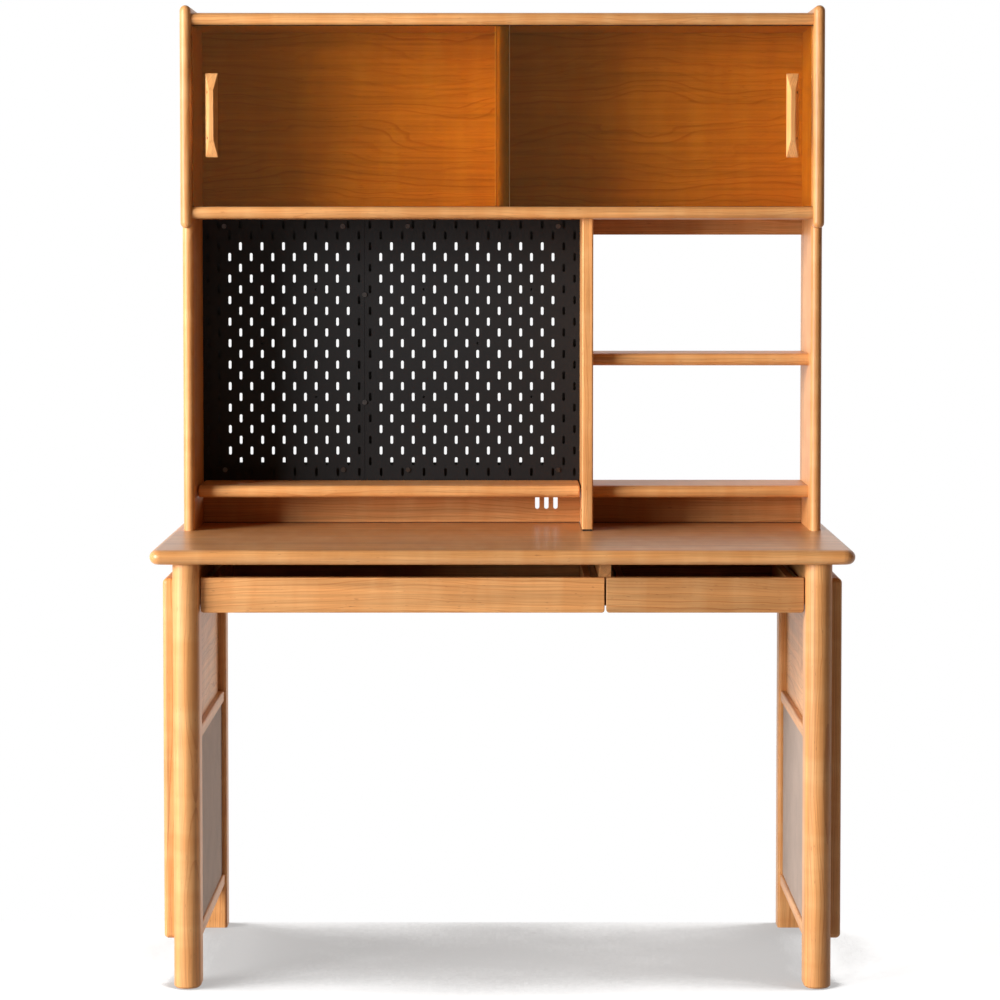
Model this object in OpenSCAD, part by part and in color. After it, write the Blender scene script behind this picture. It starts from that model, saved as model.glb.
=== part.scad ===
// Study desk with a hutch: two drawers on telescopic runners, a wall cabinet with
// two sliding glass doors, a slotted steel pegboard and three open shelves.
// The origin lies on the floor under the middle of the desktop. +Z is up and the
// front of the desk looks along -Y.

/* [Desktop] */
// Width of the desktop
desk_w = 1200; // [1100:10:1600]
// Depth of the desktop
desk_d = 600; // [560:10:760]
// Height of the writing surface over the floor
desk_h = 755; // [700:5:800]
// Thickness of the desktop, whose edge is a full round
top_t = 25; // [20:1:32]
// Radius of the desktop's corners seen from above
top_corner_r = 20; // [17:1:40]

/* [Side frames] */
// Width of a front leg
leg_w = 46; // [40:1:54]
// Depth of a front leg, whose front is half round
front_leg_d = 60; // [46:1:80]
// Width of a rear leg
rear_leg_w = 50; // [42:1:60]
// Depth of a rear leg
rear_leg_d = 50; // [36:1:60]
// Distance from the end of the desktop to the outer face of the legs
leg_inset = 37; // [30:1:60]
// Distance from the front edge of the desktop to the front legs
front_leg_setback = 17; // [10:1:40]
// Distance from the back edge of the desktop to the rear legs
rear_leg_setback = 18; // [10:1:40]
// Rounding of a rear leg's upright edges
rear_leg_round = 6; // [2:1:12]
// Bevel round the foot of a front leg
foot_bevel = 3; // [1:0.5:6]
// Thickness of the middle and bottom rails
rail_t = 20; // [16:1:30]
// Rounding of the rails' long edges
rail_round = 3; // [1:0.5:6]
// Height of the top rail, which carries the drawer runners
top_rail_h = 75; // [74:1:90]
// Height of the bottom rail's underside over the floor
bottom_rail_z = 82; // [50:1:160]
// Height of the middle rail's underside over the floor
mid_rail_z = 425; // [300:5:520]
// Thickness of the framed panels
panel_t = 9; // [6:0.5:14]
// How far the wooden upper panel lies behind the rails' inner face
upper_panel_inset = 10.5; // [6:0.5:20]
// How far the grey lower panel lies behind the rails' inner face
lower_panel_inset = 5; // [4:0.5:20]
// Depth of the grooves that hold the framed panels
groove_d = 6; // [4:0.5:8]
// Thickness of the board on the outside of a side frame
outer_board_t = 18; // [15:1:24]
// Rounding of the outer board's outer edges and corners
outer_board_round = 8; // [4:0.5:12]
// Distance from the front edge of the desktop to the outer board
outer_board_setback = 48; // [44:1:80]
// Distance from the desktop's underside down to the outer board's top
outer_board_drop = 27; // [15:1:60]
// Thickness of the apron between the rear legs
apron_t = 20; // [15:1:25]
// Height of the apron between the rear legs
apron_h = 90; // [60:5:110]
// Diameter of a foot glide
glide_dia = 26; // [20:1:32]
// Thickness of a foot glide
glide_t = 5; // [3:0.5:8]
// How far a foot glide stands out under the leg
glide_proud = 1; // [0.5:0.5:3]

/* [Drawers] */
// Height of the drawer fronts
drawer_front_h = 60; // [56:1:64]
// Thickness of the drawer fronts
drawer_front_t = 20; // [15:1:24]
// Rounding of the drawer fronts' lower corners
drawer_corner_r = 5; // [2:1:12]
// Finger gap between the desktop and the drawer fronts
finger_gap = 25; // [20:1:26]
// Distance from the front edge of the desktop to the drawer fronts
drawer_setback = 40; // [25:1:70]
// Place of the line between the two drawers, to the right of the middle
drawer_split_x = 176; // [-200:1:250]
// Gap between the two drawer fronts
drawer_gap = 3; // [2:0.5:5]
// Gap between a drawer front and the leg
drawer_side_gap = 2; // [1:0.5:5]
// Thickness of the drawers' sides and backs
drawer_side_t = 12; // [10:1:16]
// Height of the drawers' sides
drawer_side_h = 46; // [42:1:50]
// How far the drawers' sides begin above the fronts' lower edge
drawer_side_lift = 6; // [5:1:8]
// Length of the drawers' sides
drawer_len = 400; // [300:10:420]
// Thickness of the drawers' bottoms
drawer_bottom_t = 5; // [3:0.5:8]
// Height of a drawer's bottom above the lower edge of its sides
drawer_bottom_lift = 6; // [4:1:10]
// Thickness of the partition between the drawers
partition_t = 20; // [15:1:25]

/* [Drawer runners] */
// Height of a runner
runner_h = 35; // [30:1:40]
// Width of a runner, from the rail to the drawer's side
runner_w = 12.7; // [12:0.1:14]
// Length of a runner
runner_len = 390; // [280:10:400]
// Thickness of the runners' steel
runner_steel = 1.2; // [1:0.1:1.5]
// Running clearance between the members of a runner
runner_play = 0.4; // [0.3:0.05:0.6]
// How far the outer and middle members' flanges reach from the rail
runner_reach = 9.5; // [8:0.1:10]

/* [Hutch] */
// Distance from the end of the desktop to the hutch's side
hutch_inset = 23; // [13:1:70]
// Height of the hutch's sides over the floor
hutch_h = 1700; // [1600:5:1900]
// Depth of the hutch's lower part
hutch_d = 210; // [190:5:280]
// How far the cabinet stands out over the hutch's lower part
cabinet_overhang = 40; // [30:1:80]
// Thickness of the hutch's sides, whose front and top edges are full rounds
side_t = 20; // [18:1:25]
// Thickness of the shelves and of the cabinet's top and floor
board_t = 22; // [18:1:28]
// Height of the step under the cabinet part of the sides
step_z = 1302; // [1250:1:1310]
// Place of the divider's middle, to the right of the middle of the desk
divider_x = 154; // [50:1:250]
// Rounding of the divider's front edges
divider_round = 3; // [1:0.5:8]
// Length of the cable slot through the divider
cable_slot_l = 50; // [30:1:60]
// Height of the cable slot through the divider
cable_slot_h = 18; // [10:1:24]
// Distance from the divider's front to the middle of its cable slot
cable_slot_y = 38; // [34:1:80]
// Height of the cable slot's middle over the desktop
cable_slot_z = 28; // [20:1:38]
// Thickness of the pad under the divider
pad_t = 3; // [2:0.5:5]
// Height of the low shelves' tops over the floor
low_shelf_z = 834; // [826:1:845]
// Height of the middle shelf's top over the floor
mid_shelf_z = 1075; // [950:1:1200]
// Distance from the front of the hutch's lower part to the shelves
shelf_setback = 40; // [20:1:70]
// Radius of the long shelf's front corners seen from above
shelf_corner_r = 16; // [15:1:30]
// Gap at each end of the long shelf
shelf_end_gap = 3; // [1:0.5:4]
// Diameter of the long shelf's pins
shelf_pin_dia = 6; // [5:0.5:8]
// How deep a shelf pin sits in the side or the divider
shelf_pin_in = 10; // [8:1:12]
// Thickness of the rails and of the pegboard's frame at the hutch's back
back_rail_t = 16; // [12:1:20]
// Height of the rail under the cabinet in the right bay
back_rail_h = 28; // [20:1:40]
// Thickness of the low boards at the back
back_board_t = 12; // [9:1:15]
// Height of the low boards at the back
back_board_h = 44; // [36:1:47]
// Gap between the desktop and the low boards at the back
back_board_gap = 1; // [0.5:0.5:5]
// Width of a cable notch in the left low board
notch_w = 8; // [6:0.5:12]
// Depth of a cable notch
notch_d = 20; // [12:1:26]
// Spacing of the cable notches
notch_pitch = 17; // [14:0.5:24]
// Place of the middle cable notch, to the right of the middle of the desk
notch_x = 82; // [-300:1:100]
// Number of cable notches
notch_n = 3; // [1:1:5]

/* [Cabinet and doors] */
// Height of the cabinet floor's underside over the floor of the room
cabinet_z = 1319; // [1314:1:1400]
// How far the sides rise over the cabinet's top
side_rise = 13; // [10:1:30]
// How far the cabinet's boards lie behind the front of its sides
board_setback = 8; // [4:1:16]
// Thickness of the cabinet's back panel
cabinet_back_t = 6; // [4:0.5:9]
// Distance from the cabinet's back panel to the back of the hutch
cabinet_back_inset = 6; // [3:0.5:12]
// Depth of the grooves for the cabinet's back panel
back_groove_d = 5; // [3:0.5:7]
// Thickness of the glass doors
glass_t = 5; // [4:0.5:6]
// Width of the tracks that hold both doors
track_w = 24; // [22:1:30]
// Height of the lower track, which is let in flush
track_low_h = 7; // [6:0.5:9]
// Height of the upper track, which is let in flush
track_high_h = 13; // [11:0.5:15]
// Wall left under the tracks' channels
track_wall = 3; // [2:0.5:4]
// Distance between the two channels' middles
track_pitch = 12; // [11:0.5:14]
// Side clearance of a door in its channel
door_play = 0.7; // [0.5:0.1:1]
// Distance from the front edge of the cabinet's boards to the tracks
track_setback = 8; // [4:1:20]
// How far the two closed doors overlap
door_overlap = 26; // [16:1:50]
// Gap between a closed door and the side of the hutch
door_end_gap = 1; // [0.5:0.5:3]
// How far the doors reach into the upper track
door_top_engage = 6; // [4:0.5:8]
// Gap under the doors in the lower track
door_lift = 0.3; // [0.2:0.05:0.5]
// Width of a handle on the glass
handle_w = 22; // [16:1:30]
// Height of a handle
handle_h = 150; // [100:5:200]
// How far a handle stands out from the glass
handle_d = 18; // [12:1:24]
// Width of the flat along a handle's front
handle_flat_w = 6; // [3:0.5:10]
// Height of the flat along a handle's front
handle_flat_h = 85; // [50:5:95]
// Distance from the side of the hutch to the middle of a handle
handle_inset = 36; // [30:1:80]

/* [Pegboard] */
// Width of the left steel panel
peg_left_w = 300; // [200:20:400]
// Thickness of the steel
peg_steel = 1.2; // [1:0.1:2]
// Depth of the panels' folded edges
peg_fold = 11; // [8:0.5:15]
// Width of a slot
slot_w = 5; // [4:0.5:8]
// Height of a slot
slot_h = 15; // [12:0.5:18]
// Spacing of neighbouring columns; rows in one column are twice as far apart
peg_pitch = 20; // [18:1:24]
// Distance from a panel's side to its first column
peg_edge = 10; // [8:1:14]
// Distance from the lower edge of the panels to the lowest row
peg_foot = 15; // [12:1:24]
// Gap round the panels of the pegboard
peg_gap = 0.5; // [0.3:0.1:1]
// Width of the uprights in the frame behind the pegboard
peg_stile_w = 40; // [24:1:46]
// Height of the upper cross rail in the frame behind the pegboard
peg_rail_h = 39; // [24:1:44]
// How far the frame's lower cross rail covers the pegboard
peg_low_cover = 31.5; // [26:0.5:44]
// Diameter of the pegboard screws' heads
peg_head_dia = 9; // [6:0.5:10]
// Diameter of the pegboard screws
peg_screw_dia = 4; // [3:0.5:5]
// Length of the pegboard screws under the head
peg_screw_len = 22; // [16:1:26]
// Height of the lower screws over the panels' lower edge
peg_screw_foot = 19; // [10:1:24]
// Distance of the upper screws from the panels' upper edge
peg_screw_crown = 12; // [8:1:24]
// Diameter of the small round holes between the slots
peg_hole_dia = 4.5; // [3:0.5:6]
// Spacing of the small round holes, in columns
peg_hole_step = 5; // [3:2:7]

/* [Hutch bolts] */
// Diameter of the bolts that hold the hutch on the desktop
bolt_dia = 6; // [5:0.5:8]
// Diameter of the bolt heads
bolt_head_dia = 12; // [10:0.5:14]
// Height of the bolt heads
bolt_head_h = 4; // [3:0.5:6]
// How deep the bolt heads are let into the desktop's underside
bolt_recess = 1; // [0.5:0.5:4]
// How far a bolt reaches into a side
bolt_reach = 40; // [30:1:60]
// Distance from a side's front and back edge to its bolts
bolt_inset = 45; // [30:1:60]

/* [Hidden] */
$fn = 48;

// Clearance round a piece that is let into another
fit = 0.2;
// Length by which a cut runs past the face that it opens
past = 1;

// Planes of the desk
front = -desk_d / 2;
back = desk_d / 2;
top_under = desk_h - top_t;

// Planes of the right side frame; the left one is its mirror image
leg_out = desk_w / 2 - leg_inset;
leg_in = leg_out - leg_w;
rear_leg_in = leg_out - rear_leg_w;
front_leg_y = front + front_leg_setback;
rail_y = front_leg_y + front_leg_d;
rear_leg_y = back - rear_leg_setback - rear_leg_d;
rail_len = rear_leg_y - rail_y;
top_rail_z = top_under - top_rail_h;
outer_board_y = front + outer_board_setback;
outer_board_len = back - rear_leg_setback - outer_board_y;
outer_board_z = bottom_rail_z;
outer_board_h = top_under - outer_board_drop - outer_board_z;
apron_y = rear_leg_y + (rear_leg_d - apron_t) / 2;

// Planes of the drawers
drawer_y = front + drawer_setback;
drawer_z = top_under - finger_gap - drawer_front_h;
box_y = drawer_y + drawer_front_t;
box_z = drawer_z + drawer_side_lift;
runner_mid_z = box_z + drawer_side_h / 2;
runner_y = box_y + drawer_front_t / 4;
partition_left = drawer_split_x - partition_t / 2;
partition_right = drawer_split_x + partition_t / 2;
partition_y = box_y + drawer_side_gap;

// Planes of the hutch
hutch_out = desk_w / 2 - hutch_inset;
hutch_in = hutch_out - side_t;
hutch_front = back - hutch_d;
cabinet_front = hutch_front - cabinet_overhang;
side_r = side_t / 2;
divider_left = divider_x - side_t / 2;
divider_right = divider_x + side_t / 2;
shelf_y = hutch_front + shelf_setback;
back_rail_y = back - back_rail_t;
peg_y = back_rail_y - peg_fold - peg_steel;
shelf_d = peg_y - fit - shelf_y;
back_board_z = desk_h + back_board_gap;
back_board_y = back_rail_y - fit - back_board_t;

// Planes of the cabinet
cabinet_floor_z = cabinet_z + board_t;
cabinet_top_z = hutch_h - side_rise;
cabinet_ceiling_z = cabinet_top_z - board_t;
board_y = cabinet_front + board_setback;
cabinet_back_y = back - cabinet_back_inset - cabinet_back_t;
track_y = board_y + track_setback;
channel_w = glass_t + 2 * door_play;
front_channel_y = track_y + track_w / 2 - track_pitch / 2;
rear_channel_y = front_channel_y + track_pitch;
cabinet_divider_y = track_y + track_w + door_play;
door_w = hutch_in - door_end_gap + door_overlap / 2;
door_z = cabinet_floor_z - (track_low_h - track_wall) + door_lift;
door_h = cabinet_ceiling_z + door_top_engage - door_z;
handle_x = hutch_in - handle_inset;
handle_z = door_z + door_h / 2;

// Planes of the pegboard, which fills the left bay over the long shelf
bay_left_w = divider_left + hutch_in;
peg_left = -hutch_in + peg_gap;
peg_right = peg_left + peg_left_w + peg_gap;
peg_seam = peg_right - peg_gap / 2;
peg_right_w = divider_left - peg_gap - peg_right;
peg_z = low_shelf_z + peg_gap;
peg_h = cabinet_z - peg_gap - peg_z;
peg_rows = floor((peg_h - peg_foot - slot_h / 2) / (2 * peg_pitch)) + 1;
peg_hole_rows = floor((peg_h / peg_pitch - 12) / peg_hole_step) + 1;
peg_frame_z = low_shelf_z - board_t;

wood = "#dfa263";
wood_dark = "#c98a50";
wood_inside = "#b5713a";
felt_grey = "#a8978b";
steel = "#c4c6c8";
black = "#2a282b";
plastic = "#4a2a18";
glass = [0.75, 0.42, 0.14, 0.45];

// Mirrors a piece of the right-hand side to the left for side = -1
module on_side(side) {
    mirror([side < 0 ? 1 : 0, 0, 0]) children();
}

// Extrudes a profile drawn in Y and Z along X, from x0 over a length
module along_x(x0, length) {
    translate([x0, 0, 0]) rotate([90, 0, 90]) linear_extrude(length) children();
}

// Extrudes a profile drawn in X and Z along Y, from y0 over a length
module along_y(y0, length) {
    translate([0, y0 + length, 0]) rotate([90, 0, 0]) linear_extrude(length) children();
}

module box(x0, x1, y0, y1, z0, z1) {
    translate([x0, y0, z0]) cube([x1 - x0, y1 - y0, z1 - z0]);
}

// Rectangle with four round corners
module round_rect(w, h, r) {
    translate([r, 0]) square([w - 2 * r, h]);
    translate([0, r]) square([w, h - 2 * r]);
    for (x = [r, w - r], y = [r, h - r])
        translate([x, y]) circle(r);
}

// Profile of a board edge: a rectangle that ends in a half circle on its left
module nose_profile(length, t) {
    translate([t / 2, 0]) square([length - t / 2, t]);
    translate([t / 2, t / 2]) circle(t / 2);
}

// A quarter of a board's corner of radius r, with the edge a full round.
// It fills the quadrant of +X and +Y round the Z axis.
module nosed_corner(r, t) {
    rotate_extrude(angle = 90) {
        square([r - t / 2, t]);
        translate([r - t / 2, 0]) intersection() {
            translate([0, t / 2]) circle(t / 2);
            square([t, t]);
        }
    }
}

// Board with full-round ends and front edge, round front corners and, where
// round_back is true, the same edge at the back. The board spans x0..x1 and
// y0..y1 with its underside at z.
module nosed_board(x0, x1, y0, y1, z, t, r, round_back) {
    y_far = round_back ? y1 - r : y1;
    translate([0, 0, z]) {
        along_x(x0 + r, x1 - x0 - 2 * r) {
            translate([y0, 0]) nose_profile(round_back ? y1 - y0 - t / 2 : y1 - y0, t);
            if (round_back)
                translate([y1, 0]) mirror([1, 0]) nose_profile(r, t);
        }
        along_y(y0 + r, y_far - y0 - r) {
            translate([x0, 0]) nose_profile(r + past, t);
            translate([x1, 0]) mirror([1, 0]) nose_profile(r + past, t);
        }
        translate([x1 - r, y0 + r, 0]) rotate(-90) nosed_corner(r, t);
        translate([x0 + r, y0 + r, 0]) rotate(180) nosed_corner(r, t);
        if (round_back) {
            translate([x1 - r, y1 - r, 0]) nosed_corner(r, t);
            translate([x0 + r, y1 - r, 0]) rotate(90) nosed_corner(r, t);
        }
    }
}

// Places its children at the four bolts between the hutch and the desktop
module at_bolts() {
    for (side = [-1, 1], y = [hutch_front + bolt_inset, back - bolt_inset])
        translate([side * (hutch_out - side_r), y, 0]) children();
}

module desktop() {
    color(wood) difference() {
        nosed_board(-desk_w / 2, desk_w / 2, front, back, top_under, top_t, top_corner_r, true);
        at_bolts() {
            translate([0, 0, top_under - past]) cylinder(h = top_t + 2 * past, d = bolt_dia + 2 * fit);
            translate([0, 0, top_under - past])
                cylinder(h = bolt_recess + bolt_head_h + past, d = bolt_head_dia + 2 * fit);
        }
    }
}

// Bore for a foot glide, in the middle of a leg of width w and depth d
module glide_bore(w, d) {
    translate([w / 2, d / 2, -past])
        cylinder(h = glide_t + past, d = glide_dia + 2 * fit);
}

// Space of a framed panel: inset is its distance behind the rails' inner face,
// and grow is the clearance of its groove
module panel_space(inset, z0, z1, grow) {
    box(leg_in + inset - grow, leg_in + inset + panel_t + grow,
        rail_y - groove_d - grow, rear_leg_y + groove_d + grow,
        z0 - groove_d - grow, z1 + groove_d + grow);
}

module upper_panel_space(grow) {
    panel_space(upper_panel_inset, mid_rail_z + rail_t, top_rail_z, grow);
}

module lower_panel_space(grow) {
    panel_space(lower_panel_inset, bottom_rail_z + rail_t, mid_rail_z, grow);
}

module front_leg(side) {
    r = leg_w / 2;
    color(wood) on_side(side) difference() {
        translate([leg_in, front_leg_y, glide_proud]) {
            translate([0, 0, foot_bevel]) linear_extrude(top_under - glide_proud - foot_bevel) {
                translate([r, r]) circle(r);
                translate([0, r]) square([leg_w, front_leg_d - r]);
            }
            translate([r, r, 0]) cylinder(h = foot_bevel, r1 = r - foot_bevel, r2 = r);
            along_y(r, front_leg_d - r)
                polygon([[foot_bevel, 0], [leg_w - foot_bevel, 0], [leg_w, foot_bevel], [0, foot_bevel]]);
        }
        translate([leg_in, front_leg_y, glide_proud]) glide_bore(leg_w, front_leg_d);
        upper_panel_space(fit);
        lower_panel_space(fit);
    }
}

module rear_leg(side) {
    color(wood) on_side(side) difference() {
        translate([rear_leg_in, rear_leg_y, glide_proud])
            linear_extrude(top_under - glide_proud) round_rect(rear_leg_w, rear_leg_d, rear_leg_round);
        translate([rear_leg_in, rear_leg_y, glide_proud]) glide_bore(rear_leg_w, rear_leg_d);
        upper_panel_space(fit);
        lower_panel_space(fit);
    }
}

module side_top_rail(side) {
    color(wood_inside) on_side(side) difference() {
        box(leg_in, leg_out, rail_y, rear_leg_y, top_rail_z, top_under);
        upper_panel_space(fit);
    }
}

// Middle or bottom rail with its underside at z
module side_rail(z) {
    along_y(rail_y, rail_len) translate([leg_in, z]) round_rect(leg_w, rail_t, rail_round);
}

module side_mid_rail(side) {
    color(wood_dark) on_side(side) difference() {
        side_rail(mid_rail_z);
        upper_panel_space(fit);
        lower_panel_space(fit);
    }
}

module side_bottom_rail(side) {
    color(wood_dark) on_side(side) difference() {
        side_rail(bottom_rail_z);
        lower_panel_space(fit);
    }
}

module side_upper_panel(side) {
    color(wood) on_side(side) upper_panel_space(0);
}

module side_lower_panel(side) {
    color(felt_grey) on_side(side) lower_panel_space(0);
}

// Board on the outside of a side frame. Its inner layer has round corners, and
// its outer edges are rounded by the same radius.
module outer_side_board(side) {
    r = outer_board_round;
    flat_t = outer_board_t - r;
    y0 = outer_board_y;
    z0 = outer_board_z;
    l = outer_board_len;
    h = outer_board_h;
    color(wood) on_side(side) translate([leg_out, y0, z0]) {
        along_x(0, flat_t) round_rect(l, h, r);
        box(0, outer_board_t, r, l - r, r, h - r);
        for (z = [r, h - r])
            intersection() {
                translate([flat_t, r, z]) rotate([-90, 0, 0]) cylinder(h = l - 2 * r, r = r);
                box(flat_t, outer_board_t, 0, l, 0, h);
            }
        for (y = [r, l - r])
            intersection() {
                translate([flat_t, y, r]) cylinder(h = h - 2 * r, r = r);
                box(flat_t, outer_board_t, 0, l, 0, h);
            }
        for (y = [r, l - r], z = [r, h - r])
            intersection() {
                translate([flat_t, y, z]) sphere(r);
                box(flat_t, outer_board_t, 0, l, 0, h);
            }
    }
}

module rear_apron() {
    color(wood_inside)
        box(-rear_leg_in, rear_leg_in, apron_y, apron_y + apron_t, top_under - apron_h, top_under);
}

module drawer_partition() {
    color(wood_inside)
        box(partition_left, partition_right, partition_y, apron_y, top_rail_z, top_under);
}

module foot_glides() {
    color(black) for (side = [-1, 1])
        on_side(side) {
            translate([leg_in + leg_w / 2, front_leg_y + front_leg_d / 2, 0])
                cylinder(h = glide_t, d = glide_dia);
            translate([rear_leg_in + rear_leg_w / 2, rear_leg_y + rear_leg_d / 2, 0])
                cylinder(h = glide_t, d = glide_dia);
        }
}

// Ends of a drawer front and of its bay between the runners' walls.
// side is -1 for the left drawer and 1 for the right one.
function front_x0(side) = side < 0 ? -leg_in + drawer_side_gap : drawer_split_x + drawer_gap / 2;
function front_x1(side) = side < 0 ? drawer_split_x - drawer_gap / 2 : leg_in - drawer_side_gap;
function bay_x0(side) = side < 0 ? -leg_in : partition_right;
function bay_x1(side) = side < 0 ? partition_left : leg_in;
function box_x0(side) = bay_x0(side) + runner_w;
function box_x1(side) = bay_x1(side) - runner_w;

// Space of a drawer's bottom, which runs in a groove round the box
module drawer_bottom_space(side, grow) {
    reach = drawer_side_t / 2;
    box(box_x0(side) + drawer_side_t - reach - grow, box_x1(side) - drawer_side_t + reach + grow,
        box_y - reach - grow, box_y + drawer_len - drawer_side_t + reach + grow,
        box_z + drawer_bottom_lift - grow, box_z + drawer_bottom_lift + drawer_bottom_t + grow);
}

module drawer_front(side) {
    w = front_x1(side) - front_x0(side);
    r = drawer_corner_r;
    color(side < 0 ? wood : wood_dark) difference() {
        along_y(drawer_y, drawer_front_t) translate([front_x0(side), drawer_z]) {
            translate([r, 0]) square([w - 2 * r, drawer_front_h]);
            translate([0, r]) square([w, drawer_front_h - r]);
            for (x = [r, w - r])
                translate([x, r]) circle(r);
        }
        drawer_bottom_space(side, fit);
    }
}

module drawer_sides(side) {
    color(wood_inside) difference() {
        for (x = [box_x0(side), box_x1(side) - drawer_side_t])
            box(x, x + drawer_side_t, box_y, box_y + drawer_len, box_z, box_z + drawer_side_h);
        drawer_bottom_space(side, fit);
    }
}

module drawer_back(side) {
    y = box_y + drawer_len - drawer_side_t;
    color(wood_inside) difference() {
        box(box_x0(side) + drawer_side_t, box_x1(side) - drawer_side_t,
            y, y + drawer_side_t, box_z, box_z + drawer_side_h);
        drawer_bottom_space(side, fit);
    }
}

module drawer_bottom(side) {
    color(wood_inside) drawer_bottom_space(side, 0);
}

// Channel profile drawn in X and Z, open towards +X: a web of full height and
// two flanges that reach out from it
module channel_profile(h, reach) {
    translate([0, -h / 2]) square([runner_steel, h]);
    for (z = [-h / 2, h / 2 - runner_steel])
        translate([0, z]) square([reach, runner_steel]);
}

runner_step = 2 * (runner_steel + runner_play);

module runner_outer_profile() {
    channel_profile(runner_h, runner_reach);
}

module runner_middle_profile() {
    translate([runner_steel + runner_play, 0])
        channel_profile(runner_h - runner_step, runner_reach - runner_steel - runner_play);
}

module runner_inner_profile() {
    translate([runner_w, 0]) mirror([1, 0])
        channel_profile(runner_h - 2 * runner_step,
            runner_w - 2 * (runner_steel + runner_play) - runner_play);
}

// A member on both sides of a drawer; the profile starts at the fixed wall
module runner_pair(side) {
    along_y(runner_y, runner_len) {
        translate([bay_x0(side), runner_mid_z]) children();
        translate([bay_x1(side), runner_mid_z]) mirror([1, 0]) children();
    }
}

module runner_outer_members() {
    color(steel) for (side = [-1, 1])
        runner_pair(side) runner_outer_profile();
}

module runner_middle_members(side) {
    color(steel) runner_pair(side) runner_middle_profile();
}

module runner_inner_members(side) {
    color(steel) runner_pair(side) runner_inner_profile();
}

// Board edge in plan: the rounded front end at y0, the square back end at the back
module side_plan(y0) {
    translate([hutch_in, y0 + side_r]) square([side_t, back - y0 - side_r]);
    translate([hutch_in + side_r, y0 + side_r]) circle(side_r);
}

// Side of the hutch. Its lower part is set back under the cabinet, and a full
// round follows its front, its step and its top.
module hutch_side_blank() {
    x = hutch_in + side_r;
    nose_z = step_z + side_r;
    crown_z = hutch_h - side_r;
    translate([0, 0, desk_h]) linear_extrude(nose_z - desk_h) side_plan(hutch_front);
    translate([0, 0, nose_z]) linear_extrude(crown_z - nose_z) side_plan(cabinet_front);
    intersection() {
        translate([x, cabinet_front + side_r, nose_z]) rotate([-90, 0, 0])
            cylinder(h = cabinet_overhang, r = side_r);
        box(hutch_in, hutch_out, cabinet_front, hutch_front + side_r, step_z, nose_z);
    }
    intersection() {
        translate([x, cabinet_front + side_r, crown_z]) rotate([-90, 0, 0])
            cylinder(h = back - cabinet_front - side_r, r = side_r);
        box(hutch_in, hutch_out, cabinet_front, back, crown_z, hutch_h);
    }
    intersection() {
        translate([x, cabinet_front + side_r, nose_z]) sphere(side_r);
        box(hutch_in, hutch_out, cabinet_front, cabinet_front + side_r, step_z, nose_z);
    }
    intersection() {
        translate([x, cabinet_front + side_r, crown_z]) sphere(side_r);
        box(hutch_in, hutch_out, cabinet_front, cabinet_front + side_r, crown_z, hutch_h);
    }
}

// Pin bores for the long shelf: face is the X of the board's face and way the
// direction in which the bore goes
module pin_bores(face, way, depth) {
    for (y = [shelf_y + shelf_d / 3, shelf_y + shelf_d * 4 / 5])
        translate([face - way * past, y, low_shelf_z - board_t / 2])
            rotate([0, way * 90, 0]) cylinder(h = depth + past, d = shelf_pin_dia + 2 * fit);
}

// Space of the cabinet's back panel in its grooves
module cabinet_back_space(grow) {
    box(-hutch_in - back_groove_d - grow, hutch_in + back_groove_d + grow,
        cabinet_back_y - grow, cabinet_back_y + cabinet_back_t + grow,
        cabinet_floor_z - back_groove_d - grow, cabinet_ceiling_z + back_groove_d + grow);
}

module hutch_side(side) {
    color(wood) difference() {
        on_side(side) hutch_side_blank();
        at_bolts() translate([0, 0, desk_h - past])
            cylinder(h = bolt_reach + past + fit, d = bolt_dia + 2 * fit);
        cabinet_back_space(fit);
        if (side < 0)
            pin_bores(-hutch_in, -1, shelf_pin_in + fit);
    }
}

module hutch_divider() {
    z0 = desk_h + pad_t;
    y1 = back_rail_y;
    r = divider_round;
    color(wood) difference() {
        translate([divider_left, hutch_front, z0]) linear_extrude(cabinet_z - z0) {
            translate([r, 0]) square([side_t - 2 * r, r]);
            translate([0, r]) square([side_t, y1 - hutch_front - r]);
            for (x = [r, side_t - r])
                translate([x, r]) circle(r);
        }
        pin_bores(divider_left, 1, shelf_pin_in + fit);
        along_x(divider_left - past, side_t + 2 * past)
            translate([hutch_front + cable_slot_y, desk_h + cable_slot_z]) {
                square([cable_slot_l - cable_slot_h, cable_slot_h], center = true);
                for (way = [-1, 1])
                    translate([way * (cable_slot_l - cable_slot_h) / 2, 0]) circle(cable_slot_h / 2);
            }
    }
}

module divider_pad() {
    m = divider_round / 2;
    color(black)
        box(divider_left + m, divider_right - m, hutch_front + m, back_rail_y - m, desk_h, desk_h + pad_t);
}

// Board of the cabinet with a full-round front edge and its underside at z
module cabinet_board(z) {
    along_x(-hutch_in, 2 * hutch_in) translate([board_y, z]) nose_profile(back - board_y, board_t);
}

module track_space(z, h, grow) {
    box(-hutch_in - grow, hutch_in + grow, track_y - grow, track_y + track_w + grow, z - grow, z + h + grow);
}

module cabinet_top() {
    color(wood) difference() {
        cabinet_board(cabinet_ceiling_z);
        track_space(cabinet_ceiling_z, track_high_h, fit);
        cabinet_back_space(fit);
    }
}

module cabinet_floor() {
    color(wood) difference() {
        cabinet_board(cabinet_z);
        track_space(cabinet_floor_z - track_low_h, track_low_h, fit);
        cabinet_back_space(fit);
    }
}

module cabinet_divider() {
    color(wood_dark)
        translate([-side_r, cabinet_divider_y, cabinet_floor_z])
            linear_extrude(cabinet_ceiling_z - cabinet_floor_z) {
                translate([side_r, side_r]) circle(side_r);
                translate([0, side_r]) square([side_t, cabinet_back_y - cabinet_divider_y - side_r]);
            }
}

module cabinet_back() {
    color(wood_dark) cabinet_back_space(0);
}

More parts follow.
